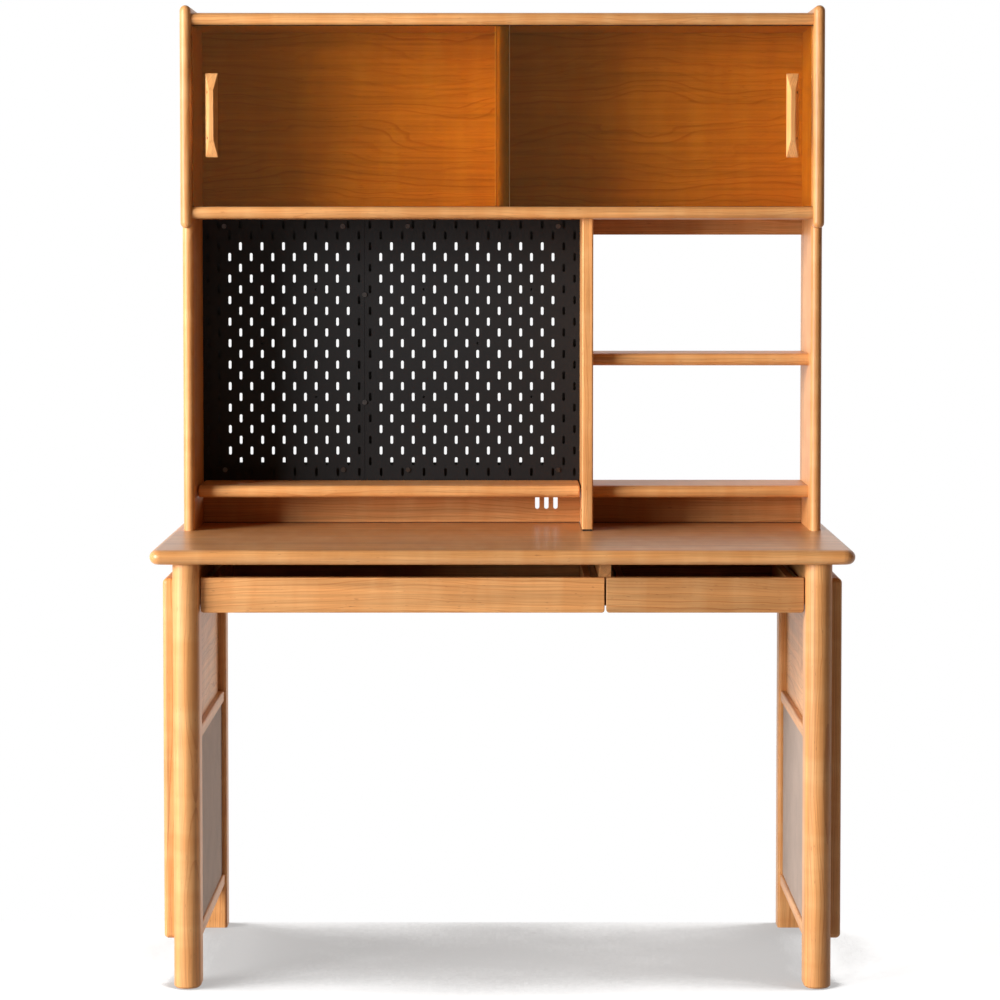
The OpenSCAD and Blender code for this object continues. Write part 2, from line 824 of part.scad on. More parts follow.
// Track of height h with its underside at z and two channels, open at the top
// for open_up = true and at the bottom otherwise
module door_track(z, h, open_up) {
    depth = h - track_wall;
    along_x(-hutch_in, 2 * hutch_in) difference() {
        translate([track_y, z]) square([track_w, h]);
        for (y = [front_channel_y, rear_channel_y])
            translate([y - channel_w / 2, open_up ? z + track_wall : z - past])
                square([channel_w, depth + past]);
    }
}

module door_track_top() {
    color(plastic) door_track(cabinet_ceiling_z, track_high_h, false);
}

module door_track_bottom() {
    color(plastic) door_track(cabinet_floor_z - track_low_h, track_low_h, true);
}

// The left door runs in the front channel and the right door in the rear one
function channel_y(side) = side < 0 ? front_channel_y : rear_channel_y;

module glass_door(side) {
    color(glass) on_side(side)
        box(hutch_in - door_end_gap - door_w, hutch_in - door_end_gap,
            channel_y(side) - glass_t / 2, channel_y(side) + glass_t / 2, door_z, door_z + door_h);
}

// Handle with a wide back on the glass and a narrow front: the overlap of a
// taper seen from above and a taper seen from the side
module door_handle(side) {
    y = channel_y(side) - glass_t / 2;
    color(wood) on_side(side) translate([handle_x, y, handle_z]) intersection() {
        translate([0, 0, -handle_h / 2]) linear_extrude(handle_h)
            polygon([[-handle_w / 2, 0], [-handle_flat_w / 2, -handle_d],
                     [handle_flat_w / 2, -handle_d], [handle_w / 2, 0]]);
        along_x(-handle_w / 2, handle_w)
            polygon([[0, -handle_h / 2], [-handle_d, -handle_flat_h / 2],
                     [-handle_d, handle_flat_h / 2], [0, handle_h / 2]]);
    }
}

// One upright slot with round ends
module slot() {
    square([slot_w, slot_h - slot_w], center = true);
    for (z = [-1, 1])
        translate([0, z * (slot_h - slot_w) / 2]) circle(slot_w / 2);
}

// Number of slot columns on a panel of width w
function peg_columns(w) = floor((w - 1.5 * peg_edge) / peg_pitch) + 1;

// Slots of a panel of width w: every second column is half a row lower. even is
// 0 or 1 and says which columns lie low.
module slot_pattern(w, even) {
    for (c = [0:peg_columns(w) - 1], r = [0:peg_rows - 1]) {
        z = peg_foot + 2 * peg_pitch * r + ((c + even) % 2) * peg_pitch;
        if (z + slot_h / 2 + peg_steel < peg_h)
            translate([peg_edge + c * peg_pitch, z]) slot();
    }
}

// Places of a panel's screws, from its lower left corner: first is the distance
// of the left-hand ones from the panel's left side
function screw_places(w, first) = [
    for (x = [first, w - 2 * peg_pitch], z = [peg_screw_foot, peg_h - peg_screw_crown]) [x, z]
];

// Heights of the screws on the seam, over the panels' lower edge
seam_screws = [for (i = [0, 1]) peg_foot + (6.5 + 10 * i) * peg_pitch];

// Places of a panel's small round holes, each between two slots of a column
function hole_places(w, even) = [
    for (c = [peg_hole_step:peg_hole_step:peg_columns(w) - 1], r = [0:peg_hole_rows - 1])
        if ((c + even) % 2 == r % 2)
            [peg_edge + c * peg_pitch, peg_foot + (7 + peg_hole_step * r) * peg_pitch]
];

// Steel panel with folded edges, its lower left corner at x0 on the low shelf.
// first is the place of its left-hand screws, and seam that of the seam.
module pegboard(x0, w, even, first, seam) {
    color(black) translate([x0, peg_y, peg_z]) difference() {
        union() {
            along_y(0, peg_steel) difference() {
                square([w, peg_h]);
                slot_pattern(w, even);
                for (p = hole_places(w, even))
                    translate(p) circle(peg_hole_dia / 2);
                for (p = screw_places(w, first))
                    translate(p) circle(peg_screw_dia / 2 + fit);
            }
            along_y(peg_steel, peg_fold) difference() {
                square([w, peg_h]);
                translate([peg_steel, peg_steel]) square([w - 2 * peg_steel, peg_h - 2 * peg_steel]);
            }
        }
        for (z = seam_screws)
            along_y(-past, peg_steel + peg_fold + 2 * past)
                translate([seam - x0, z]) circle(peg_screw_dia / 2 + fit);
    }
}

module pegboard_left() {
    pegboard(peg_left, peg_left_w, 0, 2 * peg_pitch, peg_seam);
}

module pegboard_right() {
    pegboard(peg_right, peg_right_w, 1, 4 * peg_pitch, peg_seam);
}

// Glued frame behind the pegboard: two cross rails and three uprights
module pegboard_frame() {
    x0 = -hutch_in;
    x1 = divider_left;
    half = peg_stile_w / 2;
    color(black) difference() {
        box(x0, x1, back_rail_y, back, peg_frame_z, cabinet_z);
        for (bay = [[x0 + peg_stile_w, peg_seam - half], [peg_seam + half, x1 - peg_stile_w]])
            box(bay[0], bay[1], back_rail_y - past, back + past,
                peg_z + peg_low_cover, cabinet_z - peg_rail_h);
        at_peg_screws() translate([0, peg_fold + peg_steel, 0]) rotate([-90, 0, 0])
            cylinder(h = peg_screw_len, d = peg_screw_dia + 2 * fit);
    }
}

// Places its children at each pegboard screw, on the panels' front face
module at_peg_screws() {
    for (p = screw_places(peg_left_w, 2 * peg_pitch))
        translate([peg_left + p[0], peg_y, peg_z + p[1]]) children();
    for (p = screw_places(peg_right_w, 4 * peg_pitch))
        translate([peg_right + p[0], peg_y, peg_z + p[1]]) children();
    for (z = seam_screws)
        translate([peg_seam, peg_y, peg_z + z]) children();
}

module pegboard_screws() {
    color(black) at_peg_screws() rotate([-90, 0, 0]) {
        translate([0, 0, -2]) cylinder(h = 2, d = peg_head_dia);
        cylinder(h = peg_screw_len, d = peg_screw_dia);
    }
}

module low_shelf_left() {
    x0 = -hutch_in + shelf_end_gap;
    x1 = divider_left - shelf_end_gap;
    color(wood) difference() {
        nosed_board(x0, x1, shelf_y, shelf_y + shelf_d, low_shelf_z - board_t, board_t,
            shelf_corner_r, false);
        pin_bores(x0, 1, shelf_pin_in + fit);
        pin_bores(x1, -1, shelf_pin_in + fit);
    }
}

// Shelf of the right bay with its top at z and a full-round front edge
module right_shelf(z) {
    along_x(divider_right, hutch_in - divider_right)
        translate([shelf_y, z - board_t]) nose_profile(back_rail_y - shelf_y, board_t);
}

module low_shelf_right() {
    color(wood_dark) right_shelf(low_shelf_z);
}

module mid_shelf() {
    color(wood) right_shelf(mid_shelf_z);
}

module back_board_left() {
    r = notch_w / 2;
    color(wood_inside)
        along_y(back_board_y, back_board_t) difference() {
            translate([-hutch_in, back_board_z]) square([bay_left_w, back_board_h]);
            for (i = [0:notch_n - 1])
                translate([notch_x + (i - (notch_n - 1) / 2) * notch_pitch, back_board_z + back_board_h]) {
                    translate([-r, -notch_d + r]) square([notch_w, notch_d]);
                    translate([0, -notch_d + r]) circle(r);
                }
        }
}

module back_board_right() {
    color(wood_inside)
        box(divider_right, hutch_in, back_board_y, back_board_y + back_board_t,
            back_board_z, back_board_z + back_board_h);
}

module upper_back_rail() {
    color(wood_dark)
        box(divider_left, hutch_in, back_rail_y, back, cabinet_z - back_rail_h, cabinet_z);
}

// Pins between the long shelf and the boards at its ends
module shelf_pins() {
    color(steel) for (face = [[-hutch_in, 1], [divider_left, -1]])
        for (y = [shelf_y + shelf_d / 3, shelf_y + shelf_d * 4 / 5])
            translate([face[0] - face[1] * shelf_pin_in, y, low_shelf_z - board_t / 2])
                rotate([0, face[1] * 90, 0])
                    cylinder(h = 2 * shelf_pin_in + shelf_end_gap, d = shelf_pin_dia);
}

module hutch_bolts() {
    color(steel) at_bolts() {
        translate([0, 0, top_under + bolt_recess]) {
            cylinder(h = bolt_head_h, d = bolt_head_dia);
            translate([0, 0, bolt_head_h])
                cylinder(h = top_t - bolt_recess - bolt_head_h + bolt_reach, d = bolt_dia);
        }
    }
}

desktop();
front_leg(-1);  // front_leg_left
front_leg(1);  // front_leg_right
rear_leg(-1);  // rear_leg_left
rear_leg(1);  // rear_leg_right
side_top_rail(-1);  // side_top_rail_left
side_top_rail(1);  // side_top_rail_right
side_mid_rail(-1);  // side_mid_rail_left
side_mid_rail(1);  // side_mid_rail_right
side_bottom_rail(-1);  // side_bottom_rail_left
side_bottom_rail(1);  // side_bottom_rail_right
side_upper_panel(-1);  // side_upper_panel_left
side_upper_panel(1);  // side_upper_panel_right
side_lower_panel(-1);  // side_lower_panel_left
side_lower_panel(1);  // side_lower_panel_right
outer_side_board(-1);  // outer_side_board_left
outer_side_board(1);  // outer_side_board_right
rear_apron();
drawer_partition();
foot_glides();
drawer_front(-1);  // drawer_front_left
drawer_front(1);  // drawer_front_right
drawer_sides(-1);  // drawer_sides_left
drawer_sides(1);  // drawer_sides_right
drawer_back(-1);  // drawer_back_left
drawer_back(1);  // drawer_back_right
drawer_bottom(-1);  // drawer_bottom_left
drawer_bottom(1);  // drawer_bottom_right
runner_outer_members();
runner_middle_members(-1);  // runner_middle_members_left
runner_middle_members(1);  // runner_middle_members_right
runner_inner_members(-1);  // runner_inner_members_left
runner_inner_members(1);  // runner_inner_members_right
hutch_side(-1);  // hutch_side_left
hutch_side(1);  // hutch_side_right
hutch_divider();
divider_pad();
cabinet_top();
cabinet_floor();
cabinet_divider();
cabinet_back();
door_track_top();
door_track_bottom();
glass_door(-1);  // glass_door_left
glass_door(1);  // glass_door_right
door_handle(-1);  // door_handle_left
door_handle(1);  // door_handle_right
pegboard_left();
pegboard_right();
pegboard_frame();
pegboard_screws();
low_shelf_left();
low_shelf_right();
mid_shelf();
back_board_left();
back_board_right();
upper_back_rail();
shelf_pins();
hutch_bolts();
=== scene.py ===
"""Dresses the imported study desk: lacquered cherry boards, amber sliding doors, felt-covered side panels,
powder-coated pegboards, bright steel hardware, and a white stage with soft light from the left."""

import math

import bpy
import numpy as np
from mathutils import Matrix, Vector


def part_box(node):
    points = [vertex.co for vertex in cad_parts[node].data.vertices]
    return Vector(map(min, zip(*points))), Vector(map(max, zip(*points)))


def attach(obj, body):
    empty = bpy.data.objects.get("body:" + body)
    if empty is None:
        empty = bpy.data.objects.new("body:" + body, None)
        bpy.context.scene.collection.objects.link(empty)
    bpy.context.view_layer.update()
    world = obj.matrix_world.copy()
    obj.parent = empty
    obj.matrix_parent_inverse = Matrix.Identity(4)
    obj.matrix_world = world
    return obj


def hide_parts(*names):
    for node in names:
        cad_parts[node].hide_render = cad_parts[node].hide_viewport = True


bl_info = {
    "name": "Study desk finish",
    "version": (1, 0, 0),
    "blender": (4, 5, 0),
    "location": "View3D > Sidebar > Desk",
    "description": "Gives the study desk its boards, glass, felt, steel and stage",
    "category": "Object",
}

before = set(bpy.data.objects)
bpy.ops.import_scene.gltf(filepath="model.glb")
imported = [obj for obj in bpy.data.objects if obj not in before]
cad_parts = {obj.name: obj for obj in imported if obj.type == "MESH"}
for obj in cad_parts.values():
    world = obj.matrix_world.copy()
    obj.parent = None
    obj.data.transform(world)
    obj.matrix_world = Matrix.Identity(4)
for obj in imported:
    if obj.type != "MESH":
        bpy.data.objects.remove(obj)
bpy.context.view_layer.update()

MM = 0.001
SIDES = ("left", "right")


def linear(code):
    """An sRGB hex colour as linear red, green and blue."""
    c = np.array([int(code[i:i + 2], 16) for i in (1, 3, 5)]) / 255
    return tuple(float(v) for v in np.where(c <= 0.04045, c / 12.92, ((c + 0.055) / 1.055) ** 2.4))


def length(label, text, value):
    """A size in metres that the sidebar shows."""
    return bpy.props.FloatProperty(name=label, description=text, default=value, unit="LENGTH", precision=5)


def colour(label, text, code):
    """A colour that the sidebar shows, from its sRGB hex value."""
    return bpy.props.FloatVectorProperty(
        name=label, description=text, default=linear(code), subtype="COLOR", size=3, min=0, max=1)


def number(label, text, value):
    """A plain number that the sidebar shows."""
    return bpy.props.FloatProperty(name=label, description=text, default=value)


class DeskSizes(bpy.types.PropertyGroup):
    """Sizes of the details that the finish adds to the boards, doors and handles."""

    arris: length("Arris", "Softening radius of a sawn board's edges", 1.2 * MM)
    front_corner: length("Front corners", "Radius of the drawer fronts' lower corners", 5 * MM)
    shelf_end: length("Shelf ends", "Softening radius of the long shelf's ends", 3 * MM)
    overlap: length("Overlap", "How far the low back boards reach up behind the shelves", 3 * MM)
    top_stave: length("Worktop strips", "Width of the strips that the desktop is glued up from", 95 * MM)
    side_stave: length("Side strips", "Width of the strips of the outer side boards", 110 * MM)
    hutch_stave: length("Hutch strips", "Width of the strips of the hutch's sides", 90 * MM)
    glass_arris: length("Glass arris", "Ground bevel round a glass door", 0.7 * MM)
    handle_arris: length("Handle arris", "Softening radius of a handle's edges", 1.1 * MM)
    handle_flat_width: length("Handle flat width", "Width of the narrow flat along a handle's front", 8 * MM)
    handle_flat_height: length("Handle flat height", "Height of that flat", 88 * MM)
    cap: length("Cap", "Diameter of the caps on a handle's outer flank", 5 * MM)
    cap_reach: length("Cap place", "From a handle's middle up and down to its caps", 41 * MM)


class DeskColours(bpy.types.PropertyGroup):
    """Colours of the wood, felt, steel, plastic and glass."""

    cherry: colour("Cherry", "Ground colour of the lacquered cherry", "#D59659")
    cherry_pale: colour("Pale cherry", "Early wood and bright figure", "#E3AE74")
    cherry_line: colour("Growth line", "Late wood lines of the cherry", "#AE632B")
    cherry_fleck: colour("Fleck", "Short pores and gum flecks", "#7E4522")
    felt: colour("Felt", "Felt on the lower panels", "#A89588")
    coating: colour("Powder coat", "Powder coat of the pegboards", "#100F11")
    # Near black on the frame behind the pegboards, so that the slots in front of it show dark
    stain: colour("Black stain", "Stain on the frame behind the pegboards", "#0C0B0B")
    zinc: colour("Zinc", "Bright zinc on bolts, pins and runners", "#C9CBCC")
    black_zinc: colour("Black zinc", "Blackened zinc on the pegboards' screws", "#6A686A")
    cap: colour("Cap", "Plastic caps over the handles' screws", "#4A2614")
    track: colour("Track", "Extruded plastic of the door tracks", "#3A2012")
    rubber: colour("Rubber", "Rubber of the glides and of the pad", "#151414")
    glass: colour("Amber glass", "Tint of one pass through a door", "#CBB163")
    # Partly the ground edge's own colour, and partly painted glow for the light that the pane leads to its
    # edge
    glass_edge: colour("Glass edge", "Ground edges of the doors", "#EBC9A4")


class DeskStage(bpy.types.PropertyGroup):
    """Camera and light."""

    lens: number("Lens", "Focal length in millimetres on a 36 mm sensor", 120.285)
    pitch: number("Pitch", "Degrees that the camera looks down", 2.8657)
    shift: number("Shift", "Downward shift of the lens, as a share of the frame", 0.09)
    side_shift: number("Side shift", "Leftward shift of the lens, as a share of the frame", 0.0024)
    distance: length("Distance", "From the camera to the middle of the desk", 5.94)
    height: length("Height", "Camera height over the floor", 1.276)
    key: number("Key", "Power of the large softbox on the left, in watts", 655.0)
    rear: number("Rear", "Power of the softbox behind the desk, in watts", 190.0)
    ambient: number("Ambient", "Strength of the even light from all round", 0.14)
    ambient_tint: colour("Ambient tint", "Tint of the even light, which comes off warm walls", "#FFD3A8")


def add(tree, kind, sockets=(), **settings):
    """Adds a node with its settings. A socket given as a value is a link; any other value is set."""
    node = tree.nodes.new(kind)
    for key, value in settings.items():
        setattr(node, key, value)
    for key, value in dict(sockets).items():
        if isinstance(value, bpy.types.NodeSocket):
            tree.links.new(value, node.inputs[key])
        else:
            node.inputs[key].default_value = value
    return node


def new_material(name):
    """An empty material with its output node, as (material, tree, output)."""
    material = bpy.data.materials.new(name)
    material.use_nodes = True
    tree = material.node_tree
    tree.nodes.clear()
    return material, tree, add(tree, "ShaderNodeOutputMaterial")


def rgba(c):
    """A colour as the nodes take it, opaque."""
    return (*c, 1.0)


# For a grain along each axis, the Mapping node's Euler angles that lay it along the pattern's own X
GRAIN_TURN = {"x": (0, 0, 0), "y": (0, 0, -math.pi / 2), "z": (0, math.pi / 2, 0)}


def turned(grain, point):
    """The point after the grain's turn: its part along the grain comes first."""
    x, y, z = point
    return {"x": (x, y, z), "y": (y, -x, z), "z": (z, y, -x)}[grain]


# Lacquers: lowest and highest roughness of the film, specular level, and weight and roughness of its last
# coat. The worktop has more coats, rubbed down, and mirrors what stands on it.
SATIN = (0.5, 0.62, 0.15, 0.6, 0.42)
WORKTOP = (0.36, 0.48, 0.35, 0.35, 0.25)

# From one seed to the next, the place in the tree moves on by this much along and across the grain, in metres
SEED_STEP = (1.7, 0.31, 0.23)
# Mean distance between growth lines on a face that is cut across them
LINE_GAP = 4.5 * MM


def cherry(name, centre, grain, cut, tone=1.0, seed=0, stave=0.0, lacquer=SATIN):
    """Cherry, planed and sprayed with lacquer: growth lines that sway with the fibres on a warm ground,
    pale cross figure, fine fibres and a few gum flecks.

    The growth lines are level lines of h = cut . place / LINE_GAP + noise, where place is the point in the
    board's own tree. A cut across the face gives long even lines, and a cut along its normal gives arches
    and eyes. seed picks the place in the tree, and stave is the width of glued strips, or 0 for one plank.
    """
    colours = bpy.context.scene.desk_colours
    material, tree, output = new_material(name)
    where = add(tree, "ShaderNodeTexCoord")
    place = add(tree, "ShaderNodeMapping", {
        "Vector": where.outputs["Object"],
        "Location": tuple(step * seed - c for step, c in zip(SEED_STEP, turned(grain, centre))),
        "Rotation": GRAIN_TURN[grain]}).outputs[0]
    shades = []
    if stave:
        # Each strip jumps to a place up to 3 m along and 0.6 m across the grain, and to a tone of its own
        across = add(tree, "ShaderNodeSeparateXYZ", {0: place})
        strip = add(tree, "ShaderNodeMath", {0: across.outputs[1], 1: stave}, operation="DIVIDE")
        strip = add(tree, "ShaderNodeMath", {0: strip.outputs[0]}, operation="FLOOR")
        chance = add(tree, "ShaderNodeTexWhiteNoise", {"W": strip.outputs[0]}, noise_dimensions="1D")
        jump = add(tree, "ShaderNodeVectorMath", {0: chance.outputs["Color"], 1: (3.0, 0.6, 0.6)},
                   operation="MULTIPLY")
        place = add(tree, "ShaderNodeVectorMath", {0: place, 1: jump.outputs[0]}, operation="ADD").outputs[0]
        shades = [add(tree, "ShaderNodeMapRange", {
            "Value": chance.outputs["Value"], "To Min": 0.965, "To Max": 1.03}).outputs[0]]

    # The noises, each with so many cells a metre along and across the grain and so many octaves of detail
    noise = {}
    for key, cells, detail in (
            ("sway", (2.6, 10, 10), 1.0), ("ripple", (15, 34, 34), 1.0), ("figure", (26, 6, 6), 2.0),
            ("drift", (2.2, 14, 14), 2.0), ("streak", (3.2, 105, 105), 4.0), ("fibre", (6, 480, 480), 3.0),
            ("fleck", (70, 420, 420), 1.0)):
        drawn = add(tree, "ShaderNodeMapping", {"Vector": place, "Scale": cells})
        cloud = add(tree, "ShaderNodeTexNoise", {"Vector": drawn.outputs[0], "Scale": 1.0, "Detail": detail})
        noise[key] = cloud.outputs["Fac"]

    # Growth lines: the slow sway, a hand's breadth long, bends them by up to cut[2] years and the small
    # ripple by 1.1, and they crowd and spread by 1.6. A line darkens over the last third of its year, and
    # each year has a strength of its own.
    even = add(tree, "ShaderNodeVectorMath", {0: place, 1: (0, cut[0] / LINE_GAP, cut[1] / LINE_GAP)},
               operation="DOT_PRODUCT")
    sway = add(tree, "ShaderNodeMath", {0: noise["sway"], 1: cut[2], 2: even.outputs["Value"]},
               operation="MULTIPLY_ADD")
    ripple = add(tree, "ShaderNodeMath", {0: noise["ripple"], 1: 1.1, 2: sway.outputs[0]},
                 operation="MULTIPLY_ADD")
    crowd = add(tree, "ShaderNodeTexNoise", {"W": ripple.outputs[0], "Scale": 0.45, "Detail": 0.0},
                noise_dimensions="1D")
    ring = add(tree, "ShaderNodeMath", {0: crowd.outputs["Fac"], 1: 1.6, 2: ripple.outputs[0]},
               operation="MULTIPLY_ADD")
    year = add(tree, "ShaderNodeMath", {0: ring.outputs[0]}, operation="FLOOR")
    season = add(tree, "ShaderNodeMath", {0: ring.outputs[0]}, operation="FRACT")
    late = add(tree, "ShaderNodeMapRange", {"Value": season.outputs[0], "From Min": 0.66, "From Max": 1.0},
               interpolation_type="SMOOTHSTEP")
    fair = add(tree, "ShaderNodeTexWhiteNoise", {"W": year.outputs[0]}, noise_dimensions="1D")
    strong = add(tree, "ShaderNodeMapRange", {"Value": fair.outputs["Value"], "To Min": 0.15, "To Max": 0.65})
    line = add(tree, "ShaderNodeMath", {0: late.outputs[0], 1: strong.outputs[0]}, operation="MULTIPLY")

    # Cross figure 35 mm wide, a slow drift of tone, streaks 9 mm wide, fibres, drawn 2 mm wide so that they
    # show, and flecks of gum: the part of the noise that counts, and the strengths that it is spread over
    share = {}
    for key, low, high, weak, full in (
            ("figure", 0.4, 0.68, 0.0, 0.5), ("drift", 0.3, 0.7, 0.95, 1.04),
            ("streak", 0.32, 0.68, 0.82, 1.12), ("fibre", 0.3, 0.7, 0.9, 1.07),
            ("fleck", 0.7, 0.8, 0.0, 0.45)):
        spread = add(tree, "ShaderNodeMapRange", {
            "Value": noise[key], "From Min": low, "From Max": high, "To Min": weak, "To Max": full})
        share[key] = spread.outputs[0]

    # The colours lie over one another: a colour Mix takes its share at socket 0 and its colours at 6 and 7
    tint = rgba(np.multiply(colours.cherry, tone))
    for over, hue in ((share["figure"], colours.cherry_pale), (line.outputs[0], colours.cherry_line),
                      (share["fleck"], colours.cherry_fleck)):
        mixed = add(tree, "ShaderNodeMix", {0: over, 6: tint, 7: rgba(np.multiply(hue, tone))},
                    data_type="RGBA")
        tint = mixed.outputs[2]
    depth = share["fibre"]
    for shade in (share["drift"], share["streak"], *shades):
        depth = add(tree, "ShaderNodeMath", {0: depth, 1: shade}, operation="MULTIPLY").outputs[0]
    tint = add(tree, "ShaderNodeVectorMath", {0: tint, 1: depth}, operation="MULTIPLY")

    relief = add(tree, "ShaderNodeMath", {0: noise["fibre"], 1: share["fleck"]}, operation="SUBTRACT")
    bump = add(tree, "ShaderNodeBump", {"Height": relief.outputs[0], "Strength": 0.2, "Distance": 0.08 * MM})
    smooth, rough, level, coats, coat_rough = lacquer
    film = add(tree, "ShaderNodeMapRange", {"Value": noise["fibre"], "To Min": smooth, "To Max": rough})
    shader = add(tree, "ShaderNodeBsdfPrincipled", {
        "Base Color": tint.outputs[0], "Roughness": film.outputs[0], "IOR": 1.46, "Normal": bump.outputs[0],
        "Coat Weight": coats, "Coat Roughness": coat_rough, "Specular IOR Level": level})
    tree.links.new(shader.outputs[0], output.inputs[0])
    return material


def felt(name):
    """Wool felt pressed on a board: matt and faintly mottled. Its loose fibres catch the light. They are
    finer than a render shows, and are drawn about 0.4 mm thick."""
    colours = bpy.context.scene.desk_colours
    material, tree, output = new_material(name)
    where = add(tree, "ShaderNodeTexCoord").outputs["Object"]
    fuzz = add(tree, "ShaderNodeTexNoise", {"Vector": where, "Scale": 900.0, "Detail": 3.0, "Roughness": 0.7})
    cloud = add(tree, "ShaderNodeTexNoise", {"Vector": where, "Scale": 22.0, "Detail": 3.0})
    both = add(tree, "ShaderNodeMath", {0: fuzz.outputs["Fac"], 1: cloud.outputs["Fac"]}, operation="ADD")
    depth = add(tree, "ShaderNodeMapRange", {"Value": both.outputs[0], "From Min": 0.6, "From Max": 1.4,
                                             "To Min": 0.8, "To Max": 1.15})
    tint = add(tree, "ShaderNodeVectorMath", {0: tuple(colours.felt), 1: depth.outputs[0]},
               operation="MULTIPLY")
    bump = add(tree, "ShaderNodeBump", {"Height": fuzz.outputs["Fac"], "Strength": 0.6, "Distance": 0.3 * MM})
    shader = add(tree, "ShaderNodeBsdfPrincipled", {
        "Base Color": tint.outputs[0], "Roughness": 0.95, "Sheen Weight": 0.25, "Sheen Roughness": 0.5,
        "Normal": bump.outputs[0]})
    tree.links.new(shader.outputs[0], output.inputs[0])
    return material


def powder_coat(name):
    """Powder coat baked on folded steel: near black, an orange-peel surface 0.8 mm from bump to bump."""
    colours = bpy.context.scene.desk_colours
    material, tree, output = new_material(name)
    where = add(tree, "ShaderNodeTexCoord").outputs["Object"]
    peel = add(tree, "ShaderNodeTexNoise", {"Vector": where, "Scale": 1250.0, "Detail": 2.0})
    patch = add(tree, "ShaderNodeTexNoise", {"Vector": where, "Scale": 6.0, "Detail": 2.0})
    depth = add(tree, "ShaderNodeMapRange", {"Value": patch.outputs["Fac"], "To Min": 0.85, "To Max": 1.15})
    tint = add(tree, "ShaderNodeVectorMath", {0: tuple(colours.coating), 1: depth.outputs[0]},
               operation="MULTIPLY")
    matt = add(tree, "ShaderNodeMapRange", {"Value": peel.outputs["Fac"], "To Min": 0.5, "To Max": 0.65})
    bump = add(tree, "ShaderNodeBump", {
        "Height": peel.outputs["Fac"], "Strength": 0.35, "Distance": 0.08 * MM})
    shader = add(tree, "ShaderNodeBsdfPrincipled", {
        "Base Color": tint.outputs[0], "Roughness": matt.outputs[0], "Specular IOR Level": 0.3,
        "Normal": bump.outputs[0]})
    tree.links.new(shader.outputs[0], output.inputs[0])
    return material


def zinc_plate(name, hue):
    """Cold-rolled steel with bright or blackened zinc: a soft bloom, and long rolling marks, which are drawn
    0.5 mm apart, coarser than they are, so that they show."""
    material, tree, output = new_material(name)
    where = add(tree, "ShaderNodeTexCoord").outputs["Object"]
    rolled = add(tree, "ShaderNodeMapping", {"Vector": where, "Scale": (2000, 20, 2000)})
    marks = add(tree, "ShaderNodeTexNoise", {"Vector": rolled.outputs[0], "Scale": 1.0, "Detail": 2.0})
    bloom = add(tree, "ShaderNodeTexNoise", {"Vector": where, "Scale": 60.0, "Detail": 3.0})
    depth = add(tree, "ShaderNodeMapRange", {"Value": bloom.outputs["Fac"], "To Min": 0.82, "To Max": 1.05})
    tint = add(tree, "ShaderNodeVectorMath", {0: tuple(hue), 1: depth.outputs[0]}, operation="MULTIPLY")
    matt = add(tree, "ShaderNodeMapRange", {"Value": marks.outputs["Fac"], "To Min": 0.22, "To Max": 0.42})
    shader = add(tree, "ShaderNodeBsdfPrincipled", {
        "Base Color": tint.outputs[0], "Metallic": 1.0, "Roughness": matt.outputs[0]})
    tree.links.new(shader.outputs[0], output.inputs[0])
    return material


def moulded(name, hue, grit):
    """Moulded or extruded plastic or rubber of one colour, its skin grained with bumps grit metres apart."""
    material, tree, output = new_material(name)
    where = add(tree, "ShaderNodeTexCoord").outputs["Object"]
    grain = add(tree, "ShaderNodeTexNoise", {"Vector": where, "Scale": 1 / grit, "Detail": 2.0})
    depth = add(tree, "ShaderNodeMapRange", {"Value": grain.outputs["Fac"], "To Min": 0.85, "To Max": 1.15})
    tint = add(tree, "ShaderNodeVectorMath", {0: tuple(hue), 1: depth.outputs[0]}, operation="MULTIPLY")
    matt = add(tree, "ShaderNodeMapRange", {"Value": grain.outputs["Fac"], "To Min": 0.45, "To Max": 0.6})
    bump = add(tree, "ShaderNodeBump", {
        "Height": grain.outputs["Fac"], "Strength": 0.3, "Distance": 0.1 * MM})
    shader = add(tree, "ShaderNodeBsdfPrincipled", {
        "Base Color": tint.outputs[0], "Roughness": matt.outputs[0], "Normal": bump.outputs[0]})
    tree.links.new(shader.outputs[0], output.inputs[0])
    return material


def amber_glass(name):
    """Toughened float glass, tinted amber in the melt: clear and flat. Lamps shine through in its tint."""
    colours = bpy.context.scene.desk_colours
    material, tree, output = new_material(name)
    shader = add(tree, "ShaderNodeBsdfPrincipled", {
        "Base Color": rgba(colours.glass), "Roughness": 0.0, "IOR": 1.5, "Transmission Weight": 1.0})
    clear = add(tree, "ShaderNodeBsdfTransparent", {"Color": rgba(np.sqrt(colours.glass))})
    ray = add(tree, "ShaderNodeLightPath")
    mixed = add(tree, "ShaderNodeMixShader", {
        0: ray.outputs["Is Shadow Ray"], 1: shader.outputs[0], 2: clear.outputs[0]})
    tree.links.new(mixed.outputs[0], output.inputs[0])
    return material


def ground_and_glowing_edge(name, hue):
    """The edge of a float glass pane, ground with fine grit: matt, and pale partly in its own colour and
    partly with painted glow, for the light that the pane leads to it. The specks that the grit leaves are
    drawn about 0.3 mm apart, so that they show."""
    material, tree, output = new_material(name)
    where = add(tree, "ShaderNodeTexCoord").outputs["Object"]
    grit = add(tree, "ShaderNodeTexNoise", {"Vector": where, "Scale": 3300.0, "Detail": 2.0})
    depth = add(tree, "ShaderNodeMapRange", {"Value": grit.outputs["Fac"], "To Min": 0.85, "To Max": 1.1})
    tint = add(tree, "ShaderNodeVectorMath", {0: tuple(hue), 1: depth.outputs[0]}, operation="MULTIPLY")
    shader = add(tree, "ShaderNodeBsdfPrincipled", {
        "Base Color": tint.outputs[0], "Roughness": 0.5, "IOR": 1.52})
    tree.links.new(shader.outputs[0], output.inputs[0])
    return material


